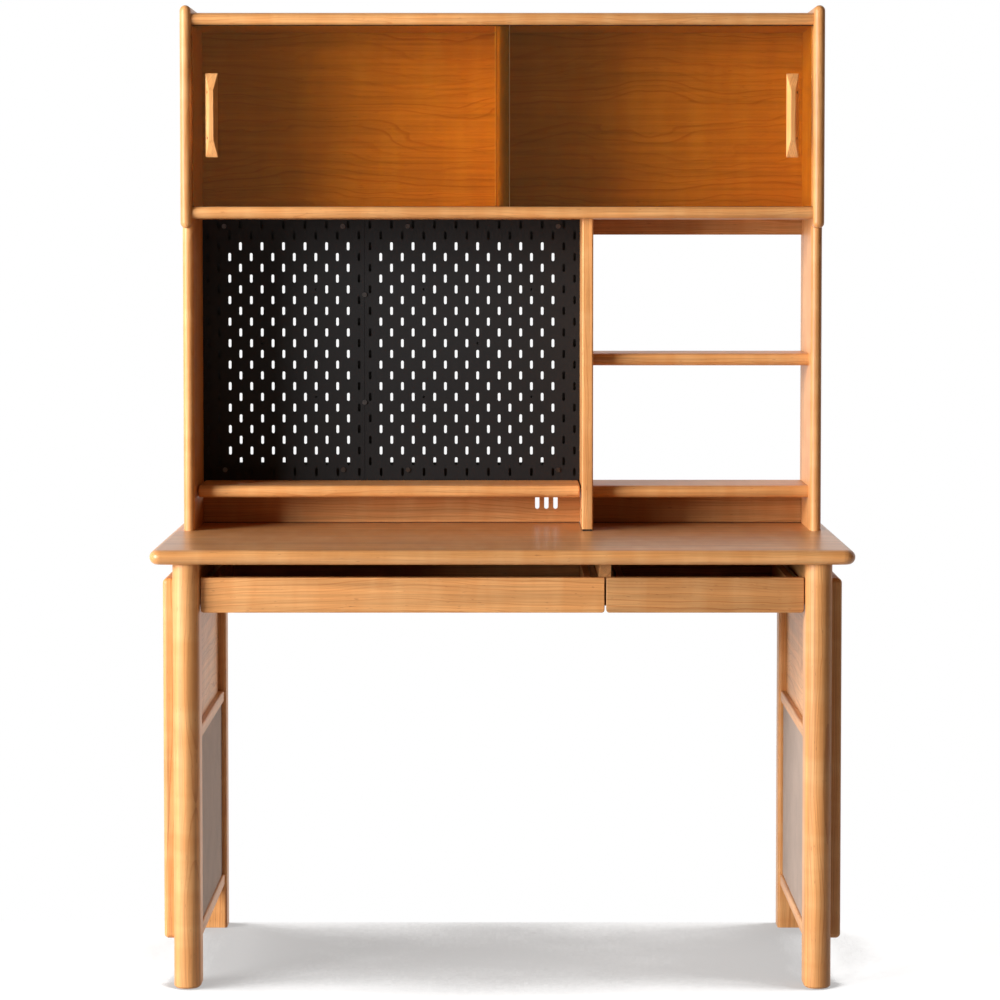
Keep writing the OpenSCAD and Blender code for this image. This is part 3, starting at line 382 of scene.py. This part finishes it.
def made_once(maker, name, *rest):
    """The material of that name, made by maker the first time it is asked for."""
    return bpy.data.materials.get(name) or maker(name, *rest)


def rubber():
    """Black rubber with a grain of 0.9 mm."""
    return made_once(moulded, "moulded_rubber", bpy.context.scene.desk_colours.rubber, 0.9 * MM)


def bright_zinc():
    """Bright zinc, one finish for the runners, pins and bolts."""
    return made_once(zinc_plate, "bright_zinc", bpy.context.scene.desk_colours.zinc)


def coat(node, material):
    """Gives a CAD node its material."""
    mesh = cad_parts[node].data
    mesh.materials.clear()
    mesh.materials.append(material)


# How the growth layers lie in a board: their slope over its two cross axes, and how far the sway bends them
RIFT = (0.66, 0.75, 7.0)
CROWN_Y = (1.0, 0.26, 8.0)
CROWN_Z = (0.26, 1.0, 8.0)


def board_wood(node, grain, cut, tone, seed, stave=0.0, lacquer=SATIN):
    """A cherry finish whose pattern is centred on that CAD node."""
    low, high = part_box(node)
    return cherry("cherry_" + node, (low + high) / 2, grain, cut, tone, seed, stave, lacquer)


def coat_board(node, grain, cut, **plank):
    """Gives a CAD node its cherry."""
    coat(node, board_wood(node, grain, cut, **plank))


def skin(name, rings, body, material):
    """A closed piece from a grid of points: rings[i, j] is point j of ring i. Quads join neighbouring
    rings, which close on themselves, and a flat face closes the first and the last ring."""
    rings = np.asarray(rings, float)
    rows, columns = rings.shape[:2]
    a = np.arange(rows - 1)[:, None] * columns
    j = np.arange(columns)[None, :]
    k = (j + 1) % columns
    quads = np.stack([a + j, a + k, a + columns + k, a + columns + j], -1).reshape(-1, 4)
    first = np.arange(columns)[::-1]
    last = np.arange(columns) + (rows - 1) * columns
    mesh = bpy.data.meshes.new(name)
    mesh.from_pydata(rings.reshape(-1, 3).tolist(), [], [*quads.tolist(), first.tolist(), last.tolist()])
    mesh.polygons.foreach_set("use_smooth", np.ones(len(mesh.polygons), bool))
    mesh.materials.append(material)
    mesh.update()
    piece = bpy.data.objects.new(name, mesh)
    bpy.context.scene.collection.objects.link(piece)
    flat = piece.modifiers.new("flat faces lead", "WEIGHTED_NORMAL")
    flat.mode = "FACE_AREA"
    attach(piece, body)
    return piece


# Edges in the quarter circle of a softened corner
ARC_STEPS = 6


def rounded_outline(width, height, radii, inset=0.0):
    """Points round a rectangle centred on zero, anticlockwise from its lower left, with each corner an
    arc. inset moves the whole outline inwards and takes as much off each radius."""
    turn = np.linspace(0, math.pi / 2, ARC_STEPS + 1)
    points = []
    for corner, (sx, sy) in enumerate(((-1, -1), (1, -1), (1, 1), (-1, 1))):
        r = max(radii[corner] - inset, 1e-6)
        middle = np.array([sx * (width / 2 - inset - r), sy * (height / 2 - inset - r)])
        angle = math.pi + corner * math.pi / 2 + turn
        points.append(middle + r * np.stack([np.cos(angle), np.sin(angle)], -1))
    return np.concatenate(points)


# For a slab whose thickness lies along an axis: the places of its outline's u and v and of its thickness
# w, such that u, v and w are right-handed
SLAB_AXES = {"x": (1, 2, 0), "y": (2, 0, 1), "z": (0, 1, 2)}


def slab_rings(low, high, axis, radii, arris):
    """Rings of a slab: while a runs over a quarter turn, the rounded outline is drawn in by
    arris * (1 - sin a) and set back from each face by arris * (1 - cos a), so both faces end in a
    quarter-round edge."""
    low, high = np.array(low), np.array(high)
    u, v, w = SLAB_AXES[axis]
    middle = (low + high) / 2
    size = high - low
    angle = np.linspace(0, math.pi / 2, ARC_STEPS + 1)
    inset = arris * (1 - np.sin(angle))
    lift = size[w] / 2 - arris * (1 - np.cos(angle))
    rings = []
    for d, h in zip(np.concatenate([inset, inset[::-1]]), np.concatenate([-lift, lift[::-1]])):
        outline = rounded_outline(size[u], size[v], radii, d)
        ring = np.empty((len(outline), 3))
        ring[:, u] = middle[u] + outline[:, 0]
        ring[:, v] = middle[v] + outline[:, 1]
        ring[:, w] = middle[w] + h
        rings.append(ring)
    return np.array(rings)


def soft_board(node, body, material, axis, radii=None, arris=None, taller=0.0):
    """A board with softened edges in place of a CAD node, taller than it by so much at the top."""
    low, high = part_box(node)
    top = (high.x, high.y, high.z + taller)
    arris = arris or bpy.context.scene.desk_sizes.arris
    rings = slab_rings(low, top, axis, radii or [arris] * 4, arris)
    piece = skin(node + "_soft", rings, body, material)
    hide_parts(node)
    return piece


def button(name, spot, out, profile, body, material):
    """A small turned piece: each row of the profile is the radius of a circle of 20 points and its height
    over the spot, along the level direction out."""
    out = np.array(out, float) / np.linalg.norm(out)
    level = np.cross((0, 0, 1), out)
    turn = np.linspace(0, 2 * math.pi, 20, endpoint=False)
    circle = np.cos(turn)[:, None] * level + np.sin(turn)[:, None] * np.cross(out, level)
    radius, height = np.array(profile, float).T
    rings = spot + radius[:, None, None] * circle + height[:, None, None] * out
    return skin(name, rings, body, material)


class DeskOperator:
    """What every operator of this file shares: it runs on the scene that is open."""

    bl_options = {"REGISTER", "UNDO"}


class DESK_OT_desktop(DeskOperator, bpy.types.Operator):
    """Lacquered cherry on the desktop, glued up from wide strips"""

    bl_idname = "desk.desktop"
    bl_label = "Desktop"

    def execute(self, context):
        stave = context.scene.desk_sizes.top_stave
        coat_board("desktop", "x", RIFT, tone=1.0, seed=1, stave=stave, lacquer=WORKTOP)
        return {"FINISHED"}


class DESK_OT_side_frames(DeskOperator, bpy.types.Operator):
    """Cherry on the legs, rails, panels and outer boards, felt on the lower panels, and rubber glides"""

    bl_idname = "desk.side_frames"
    bl_label = "Side frames"

    def execute(self, context):
        stave = context.scene.desk_sizes.side_stave
        for n, side in enumerate(SIDES):
            coat_board(f"front_leg_{side}", "z", RIFT, tone=1.04, seed=2 + n)
            coat_board(f"rear_leg_{side}", "z", RIFT, tone=1.0, seed=4 + n)
            for m, rail in enumerate(("top", "mid", "bottom")):
                coat_board(f"side_{rail}_rail_{side}", "y", RIFT, tone=0.95, seed=6 + 3 * n + m)
            coat_board(f"side_upper_panel_{side}", "y", CROWN_Y, tone=0.95, seed=12 + n)
            coat(f"side_lower_panel_{side}", made_once(felt, "wool_felt"))
            coat_board(f"outer_side_board_{side}", "z", CROWN_Z, tone=1.0, seed=14 + n, stave=stave)
        coat_board("rear_apron", "x", RIFT, tone=0.9, seed=16)
        coat_board("drawer_partition", "y", RIFT, tone=0.9, seed=17)
        coat("foot_glides", rubber())
        return {"FINISHED"}


class DESK_OT_drawers(DeskOperator, bpy.types.Operator):
    """Softened cherry fronts and backs, and cherry sides and bottoms, on both drawers"""

    bl_idname = "desk.drawers"
    bl_label = "Drawers"

    def execute(self, context):
        sizes = context.scene.desk_sizes
        low_corners = [sizes.front_corner, sizes.arris, sizes.arris, sizes.front_corner]
        # The right drawer's front is painted darker: painted shade for the light that falls off away from the
        # softbox on the left
        for n, (side, tone) in enumerate(zip(SIDES, (0.96, 0.74))):
            body = f"drawer_{side}"
            node = f"drawer_front_{side}"
            wood = board_wood(node, "x", RIFT, tone=tone, seed=18 + n)
            soft_board(node, body, wood, "y", low_corners)
            node = f"drawer_back_{side}"
            wood = board_wood(node, "x", RIFT, tone=0.9, seed=20 + n)
            soft_board(node, body, wood, "y")
            coat_board(f"drawer_sides_{side}", "y", RIFT, tone=0.9, seed=22 + n)
            coat_board(f"drawer_bottom_{side}", "x", CROWN_Z, tone=0.98, seed=24 + n)
        return {"FINISHED"}


class DESK_OT_runners(DeskOperator, bpy.types.Operator):
    """Bright zinc on the three members of every telescopic runner"""

    bl_idname = "desk.runners"
    bl_label = "Drawer runners"

    def execute(self, context):
        coat("runner_outer_members", bright_zinc())
        for side in SIDES:
            coat(f"runner_middle_members_{side}", bright_zinc())
            coat(f"runner_inner_members_{side}", bright_zinc())
        return {"FINISHED"}


class DESK_OT_hutch(DeskOperator, bpy.types.Operator):
    """Cherry on the hutch's boards, and near black, rubber, plastic and zinc on the parts that join them"""

    bl_idname = "desk.hutch"
    bl_label = "Hutch"

    def execute(self, context):
        sizes, colours = context.scene.desk_sizes, context.scene.desk_colours
        for n, side in enumerate(SIDES):
            coat_board(f"hutch_side_{side}", "z", RIFT, tone=1.05, seed=26 + n, stave=sizes.hutch_stave)
            # A black strip under each back board is painted shadow for the shade in the gap over the desktop
            self.strip(f"back_board_{side}")
        # Both low boards reach up behind the shelves, so that no light shows between them
        wood = board_wood("back_board_left", "x", RIFT, tone=0.95, seed=28)
        self.notched_board("back_board_left", sizes.overlap, wood)
        wood = board_wood("back_board_right", "x", RIFT, tone=0.82, seed=29)
        soft_board("back_board_right", "desk", wood, "y", taller=sizes.overlap)
        # The long shelf has a full-round front, like the others, and its ends are only softened
        low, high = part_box("low_shelf_left")
        nose = (high.z - low.z) / 2
        wood = board_wood("low_shelf_left", "x", RIFT, tone=1.1, seed=30)
        soft_board("low_shelf_left", "desk", wood, "x", [nose, sizes.arris, sizes.arris, nose],
                   sizes.shelf_end)
        for n, (node, cut, tone) in enumerate((
                ("cabinet_top", RIFT, 1.04), ("cabinet_floor", RIFT, 1.04), ("cabinet_back", CROWN_Y, 1.0),
                ("low_shelf_right", RIFT, 0.98), ("mid_shelf", RIFT, 1.05), ("upper_back_rail", RIFT, 0.85))):
            coat_board(node, "x", cut, tone=tone, seed=31 + n)
        coat_board("hutch_divider", "z", RIFT, tone=1.08, seed=38)
        coat_board("cabinet_divider", "z", RIFT, tone=1.0, seed=39)
        # The frame behind the pegboards is near black, so that the pegboards' slots show dark
        coat("pegboard_frame", made_once(moulded, "black_stain", colours.stain, 2 * MM))
        coat("divider_pad", rubber())
        for place in ("top", "bottom"):
            coat(f"door_track_{place}", made_once(moulded, "extruded_track", colours.track, 0.6 * MM))
        for node in ("shelf_pins", "hutch_bolts"):
            coat(node, bright_zinc())
        return {"FINISHED"}

    def notched_board(self, node, taller, material):
        """The left low board with its three cable notches: its outline, clockwise as seen from the front,
        goes down each notch's side, round a half circle and up again, and is carried through the board's
        thickness."""
        low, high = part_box(node)
        top = high.z + taller
        radius, deep, places = 4 * MM, 20 * MM, (65 * MM, 82 * MM, 99 * MM)
        half_turn = np.linspace(math.pi, 2 * math.pi, 9)
        foot = np.stack([radius * np.cos(half_turn), high.z - deep + radius + radius * np.sin(half_turn)], -1)
        notch = np.concatenate([[(-radius, top)], foot, [(radius, top)]])
        left, right = [(low.x, low.z), (low.x, top)], [(high.x, top), (high.x, low.z)]
        outline = np.concatenate([left, *(notch + (x, 0) for x in places), right])
        rings = [np.stack([outline[:, 0], np.full(len(outline), y), outline[:, 1]], -1)
                 for y in (low.y, high.y)]
        piece = skin(node + "_notched", rings, "desk", material)
        edge = piece.modifiers.new("arris", "BEVEL")
        edge.width = bpy.context.scene.desk_sizes.arris / 2
        edge.segments = 2
        # The bevel comes before the weighted normals
        piece.modifiers.move(1, 0)
        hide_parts(node)

    def strip(self, node):
        """A thin strip of black rubber in the gap between a back board and the desktop, which the real desk
        doesn't have: painted shadow for the shade in that gap, seen as a dark line.
        """
        low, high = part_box(node)
        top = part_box("desktop")[1].z
        inset, arris = 0.4 * MM, 0.2 * MM
        rings = slab_rings((low.x + inset, low.y + inset, top), (high.x - inset, high.y - inset, low.z), "z",
                           [inset] * 4, arris)
        skin(node + "_strip", rings, "desk", rubber())


class DESK_OT_doors(DeskOperator, bpy.types.Operator):
    """Amber glass panes with a bevel all round, and a ground edge whose pale colour is partly painted glow"""

    bl_idname = "desk.doors"
    bl_label = "Glass doors"

    def execute(self, context):
        arris = context.scene.desk_sizes.glass_arris
        glass = made_once(amber_glass, "amber_float_glass")
        # The edge's pale colour is partly painted glow for the light that the pane leads to it
        ground = made_once(ground_and_glowing_edge, "ground_glass_edge", context.scene.desk_colours.glass_edge)
        for side in SIDES:
            node = f"glass_door_{side}"
            pane = soft_board(node, f"door_{side}", glass, "y", [2 * arris] * 4, arris)
            pane.data.materials.append(ground)
            # Every face that doesn't look straight forwards or back belongs to the ground edge, with its
            # painted glow
            normal = np.empty(3 * len(pane.data.polygons))
            pane.data.polygons.foreach_get("normal", normal)
            edge = np.abs(normal[1::3]) < 0.99
            pane.data.polygons.foreach_set("material_index", edge.astype(int))
        return {"FINISHED"}


class DESK_OT_handles(DeskOperator, bpy.types.Operator):
    """Carved cherry handles: a long block whose four slopes meet a narrow flat along the front"""

    bl_idname = "desk.handles"
    bl_label = "Door handles"

    def execute(self, context):
        sizes = context.scene.desk_sizes
        r, foot = sizes.handle_arris, 2 * MM
        flat_wide, flat_high = sizes.handle_flat_width, sizes.handle_flat_height
        cap_rise, cap_sunk = 0.4 * MM, 0.5 * MM
        plastic = made_once(moulded, "moulded_cap", context.scene.desk_colours.cap, 0.5 * MM)
        for n, side in enumerate(SIDES):
            node = f"door_handle_{side}"
            low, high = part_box(node)
            middle = (low + high) / 2
            wide, deep, tall = high - low
            # The outline of each slice, from the glass to the front: full over the foot, then drawn in evenly
            # up to the flat, whose edge is softened
            depth = np.array([0, foot, 0.25 * deep, 0.5 * deep, 0.75 * deep, deep - r, deep - 0.4 * r, deep])
            share = np.clip((depth - foot) / (deep - foot), 0, 1)
            width = wide + (flat_wide - wide) * share
            height = tall + (flat_high - tall) * share
            width[-2:] -= np.array([0.1, 0.9]) * r
            height[-2:] -= np.array([0.1, 0.9]) * r
            rings = []
            for d, w, h in zip(depth, width, height):
                outline = rounded_outline(w, h, [r] * 4)
                rings.append(np.stack([middle.x + outline[:, 0], np.full(len(outline), high.y - d),
                                       middle.z + outline[:, 1]], -1))
            wood = board_wood(node, "z", RIFT, tone=1.12, seed=40 + n)
            piece = skin(node + "_carved", rings, f"door_{side}", wood)
            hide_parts(node)
            # The outer flank runs from the foot's edge to the flat's, and two domed caps sit half way up it:
            # their radius is cap / 2 * cos a and their height cap_rise * sin a, and their foot is sunk
            way = (-1, 1)[n]
            out = (way * (deep - foot), (flat_wide - wide) / 2, 0)
            angle = np.radians([0, 0, 30, 55, 80])
            dome = np.stack([sizes.cap / 2 * np.cos(angle), cap_rise * np.sin(angle)], -1)
            dome[0, 1] = -cap_sunk
            for m, end in enumerate((-1, 1)):
                spot = np.array([middle.x + way * (wide + flat_wide) / 4, high.y - (foot + deep) / 2,
                                 middle.z + end * sizes.cap_reach])
                button(f"{node}_cap_{m}", spot, out, dome, f"door_{side}", plastic)
        return {"FINISHED"}


class DESK_OT_pegboards(DeskOperator, bpy.types.Operator):
    """Powder coat on the slotted steel panels, blackened zinc screws, and nuts behind the small holes"""

    bl_idname = "desk.pegboards"
    bl_label = "Pegboards"

    def execute(self, context):
        # The rubber body of a blind nut, pressed against the steel from behind, with a dark bore. Each row
        # is a radius and a height over the panel's face, from behind to the front and down the bore.
        nut = np.array([(1.6, -4.2), (3.0, -4.0), (3.0, -1.2), (2.3, -1.2), (2.0, -1.6), (1.7, -3.4),
                        (0.6, -3.6)]) * MM
        forwards = (0, -1, 0)
        for n, side in enumerate(SIDES):
            coat(f"pegboard_{side}", made_once(powder_coat, "black_powder_coat"))
            low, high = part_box(f"pegboard_{side}")
            for m, (x, z) in enumerate(self.small_holes(high - low, n)):
                spot = np.array([low.x + x, low.y, low.z + z])
                button(f"pegboard_plug_{side}_{m}", spot, forwards, nut, "desk", rubber())
        coat("pegboard_screws", made_once(zinc_plate, "black_zinc", context.scene.desk_colours.black_zinc))
        return {"FINISHED"}

    def small_holes(self, size, odd):
        """Places of a panel's small holes, from its lower left corner: every fifth column and every fifth
        row of the 20 mm grid, where the two counts are alike, or unlike on the odd panel."""
        # The grid and its margins in millimetres, the first row with holes and the rows above the last one
        grid, every, first_row, rows_above = 20, 5, 7, 5
        left, below, right = 10, 15, 15
        column = np.arange(every, (size.x - right * MM) // (grid * MM) + 1, every)
        row = np.arange((size.z / (grid * MM) - (first_row + rows_above)) // every + 1)
        c, r = (counts.ravel() for counts in np.meshgrid(column, row))
        kept = (c + odd) % 2 == r % 2
        return np.stack([left + grid * c, below + grid * (first_row + every * r)], -1)[kept] * MM


class DESK_OT_stage(DeskOperator, bpy.types.Operator):
    """Camera, white floor, two softboxes and even surroundings"""

    bl_idname = "desk.stage"
    bl_label = "Stage"

    def execute(self, context):
        stage = context.scene.desk_stage
        camera = bpy.data.objects.new("camera", bpy.data.cameras.new("camera"))
        camera.data.lens = stage.lens
        camera.data.sensor_width = 36
        camera.data.shift_x = -stage.side_shift
        camera.data.shift_y = -stage.shift
        camera.location = (0, -stage.distance, stage.height)
        camera.rotation_euler = (math.radians(90 - stage.pitch), 0, 0)
        context.scene.collection.objects.link(camera)
        context.scene.camera = camera
        self.lamp(context, "key", stage.key, place=(-5.0, -3.2, 2.0), aim=(0, 0, 0.95), size=(3.2, 2.6))
        rear = self.lamp(context, "rear", stage.rear, place=(2.2, 5.2, 1.3), aim=(0, 0, 0.9), size=(3.0, 2.4))
        # The worktop would mirror the rear softbox as a glare
        rear.visible_glossy = False
        self.floor(context)
        self.surroundings(context, stage.ambient)
        context.scene.view_settings.view_transform = "Standard"
        return {"FINISHED"}

    def lamp(self, context, name, power, place, aim, size):
        """A rectangular softbox that faces the point aim."""
        data = bpy.data.lights.new(name, "AREA")
        data.shape = "RECTANGLE"
        data.size, data.size_y = size
        data.energy = power
        lamp = bpy.data.objects.new(name, data)
        lamp.location = place
        towards = np.array(aim) - np.array(place)
        across = math.atan2(-towards[0], towards[1])
        up = math.atan2(towards[2], math.hypot(towards[0], towards[1]))
        lamp.rotation_euler = (math.pi / 2 + up, 0, across)
        context.scene.collection.objects.link(lamp)
        return lamp

    def floor(self, context):
        """A white floor that ends just behind the rear legs. The camera, mirrors and glass see it as white
        paper, with the lamp's shadow and a soft grey shade where the desk stands close above. The light
        that it throws back at the desk is a mid grey's."""
        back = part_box("rear_leg_left")[1].y + 4 * MM
        reach, near = 7.0, 5.0
        mesh = bpy.data.meshes.new("floor")
        mesh.from_pydata([(-reach, -near, 0), (reach, -near, 0), (reach, back, 0), (-reach, back, 0)], [],
                         [(0, 1, 2, 3)])
        material, tree, output = new_material("matt_white_paper")
        matt = add(tree, "ShaderNodeBsdfDiffuse", {"Color": rgba((0.5, 0.5, 0.5))})
        open_sky = add(tree, "ShaderNodeAmbientOcclusion", {"Distance": 0.9}, samples=32)
        shade = add(tree, "ShaderNodeMapRange", {
            "Value": open_sky.outputs["AO"], "From Min": 0.616, "From Max": 0.64,
            "To Min": 0.43, "To Max": 0.95}, interpolation_type="SMOOTHSTEP")
        paper = add(tree, "ShaderNodeEmission", {"Color": rgba((1, 1, 1)), "Strength": shade.outputs[0]})
        gleam = add(tree, "ShaderNodeBsdfDiffuse", {"Color": rgba((0.2, 0.2, 0.2))})
        lit = add(tree, "ShaderNodeAddShader", {0: paper.outputs[0], 1: gleam.outputs[0]})
        ray = add(tree, "ShaderNodeLightPath")
        direct = add(tree, "ShaderNodeMath", {0: ray.outputs["Diffuse Depth"], 1: 0.5}, operation="LESS_THAN")
        bent = add(tree, "ShaderNodeMath", {
            0: ray.outputs["Is Glossy Ray"], 1: ray.outputs["Is Transmission Ray"]}, operation="MAXIMUM")
        bent = add(tree, "ShaderNodeMath", {0: bent.outputs[0], 1: direct.outputs[0]}, operation="MULTIPLY")
        seen = add(tree, "ShaderNodeMath", {0: bent.outputs[0], 1: ray.outputs["Is Camera Ray"]},
                   operation="MAXIMUM")
        both = add(tree, "ShaderNodeMixShader", {0: seen.outputs[0], 1: matt.outputs[0], 2: lit.outputs[0]})
        tree.links.new(both.outputs[0], output.inputs[0])
        mesh.materials.append(material)
        plane = bpy.data.objects.new("floor", mesh)
        context.scene.collection.objects.link(plane)

    def surroundings(self, context, ambient):
        """Even warm light from all round. The camera sees it as plain white, also through the glass, and
        polished surfaces mirror a white backdrop behind the desk, where the direction's Y is positive."""
        world = bpy.data.worlds.new("surroundings")
        world.use_nodes = True
        tree = world.node_tree
        tree.nodes.clear()
        ray = add(tree, "ShaderNodeLightPath")
        glass = add(tree, "ShaderNodeMath", {0: ray.outputs["Diffuse Depth"], 1: 0.5}, operation="LESS_THAN")
        glass = add(tree, "ShaderNodeMath", {0: glass.outputs[0], 1: ray.outputs["Is Transmission Ray"]},
                    operation="MULTIPLY")
        way = add(tree, "ShaderNodeTexCoord").outputs["Generated"]
        behind = add(tree, "ShaderNodeSeparateXYZ", {0: way}).outputs[1]
        behind = add(tree, "ShaderNodeMapRange", {"Value": behind, "From Min": 0.0, "From Max": 0.3})
        mirrored = add(tree, "ShaderNodeMath", {0: ray.outputs["Is Glossy Ray"], 1: behind.outputs[0]},
                       operation="MULTIPLY")
        seen = add(tree, "ShaderNodeMath", {0: ray.outputs["Is Camera Ray"], 1: glass.outputs[0]},
                   operation="MAXIMUM")
        seen = add(tree, "ShaderNodeMath", {0: seen.outputs[0], 1: mirrored.outputs[0]}, operation="MAXIMUM")
        tint = tuple(np.multiply(context.scene.desk_stage.ambient_tint, ambient))
        light = add(tree, "ShaderNodeMix", {0: seen.outputs[0], 6: rgba(tint), 7: rgba((1, 1, 1))},
                    data_type="RGBA")
        backdrop = add(tree, "ShaderNodeBackground", {"Color": light.outputs[2]})
        output = add(tree, "ShaderNodeOutputWorld")
        tree.links.new(backdrop.outputs[0], output.inputs[0])
        context.scene.world = world


OPERATORS = (
    DESK_OT_stage, DESK_OT_desktop, DESK_OT_side_frames, DESK_OT_drawers, DESK_OT_runners, DESK_OT_hutch,
    DESK_OT_doors, DESK_OT_handles, DESK_OT_pegboards,
)


class DESK_PT_finish(bpy.types.Panel):
    """Lists the desk's pieces, sizes and colours"""

    bl_label = "Study desk"
    bl_space_type = "VIEW_3D"
    bl_region_type = "UI"
    bl_category = "Desk"

    def draw(self, context):
        for operator in OPERATORS:
            self.layout.operator(operator.bl_idname)
        for group in (context.scene.desk_sizes, context.scene.desk_colours, context.scene.desk_stage):
            box = self.layout.box()
            for key in group.__annotations__:
                box.prop(group, key)


CLASSES = (DeskSizes, DeskColours, DeskStage, *OPERATORS, DESK_PT_finish)


def register():
    for cls in CLASSES:
        bpy.utils.register_class(cls)
    bpy.types.Scene.desk_sizes = bpy.props.PointerProperty(type=DeskSizes)
    bpy.types.Scene.desk_colours = bpy.props.PointerProperty(type=DeskColours)
    bpy.types.Scene.desk_stage = bpy.props.PointerProperty(type=DeskStage)


def unregister():
    del bpy.types.Scene.desk_stage
    del bpy.types.Scene.desk_colours
    del bpy.types.Scene.desk_sizes
    for cls in reversed(CLASSES):
        bpy.utils.unregister_class(cls)


def main():
    register()
    for operator in OPERATORS:
        group, name = operator.bl_idname.split(".")
        getattr(getattr(bpy.ops, group), name)()


if __name__ == "__main__":
    main()
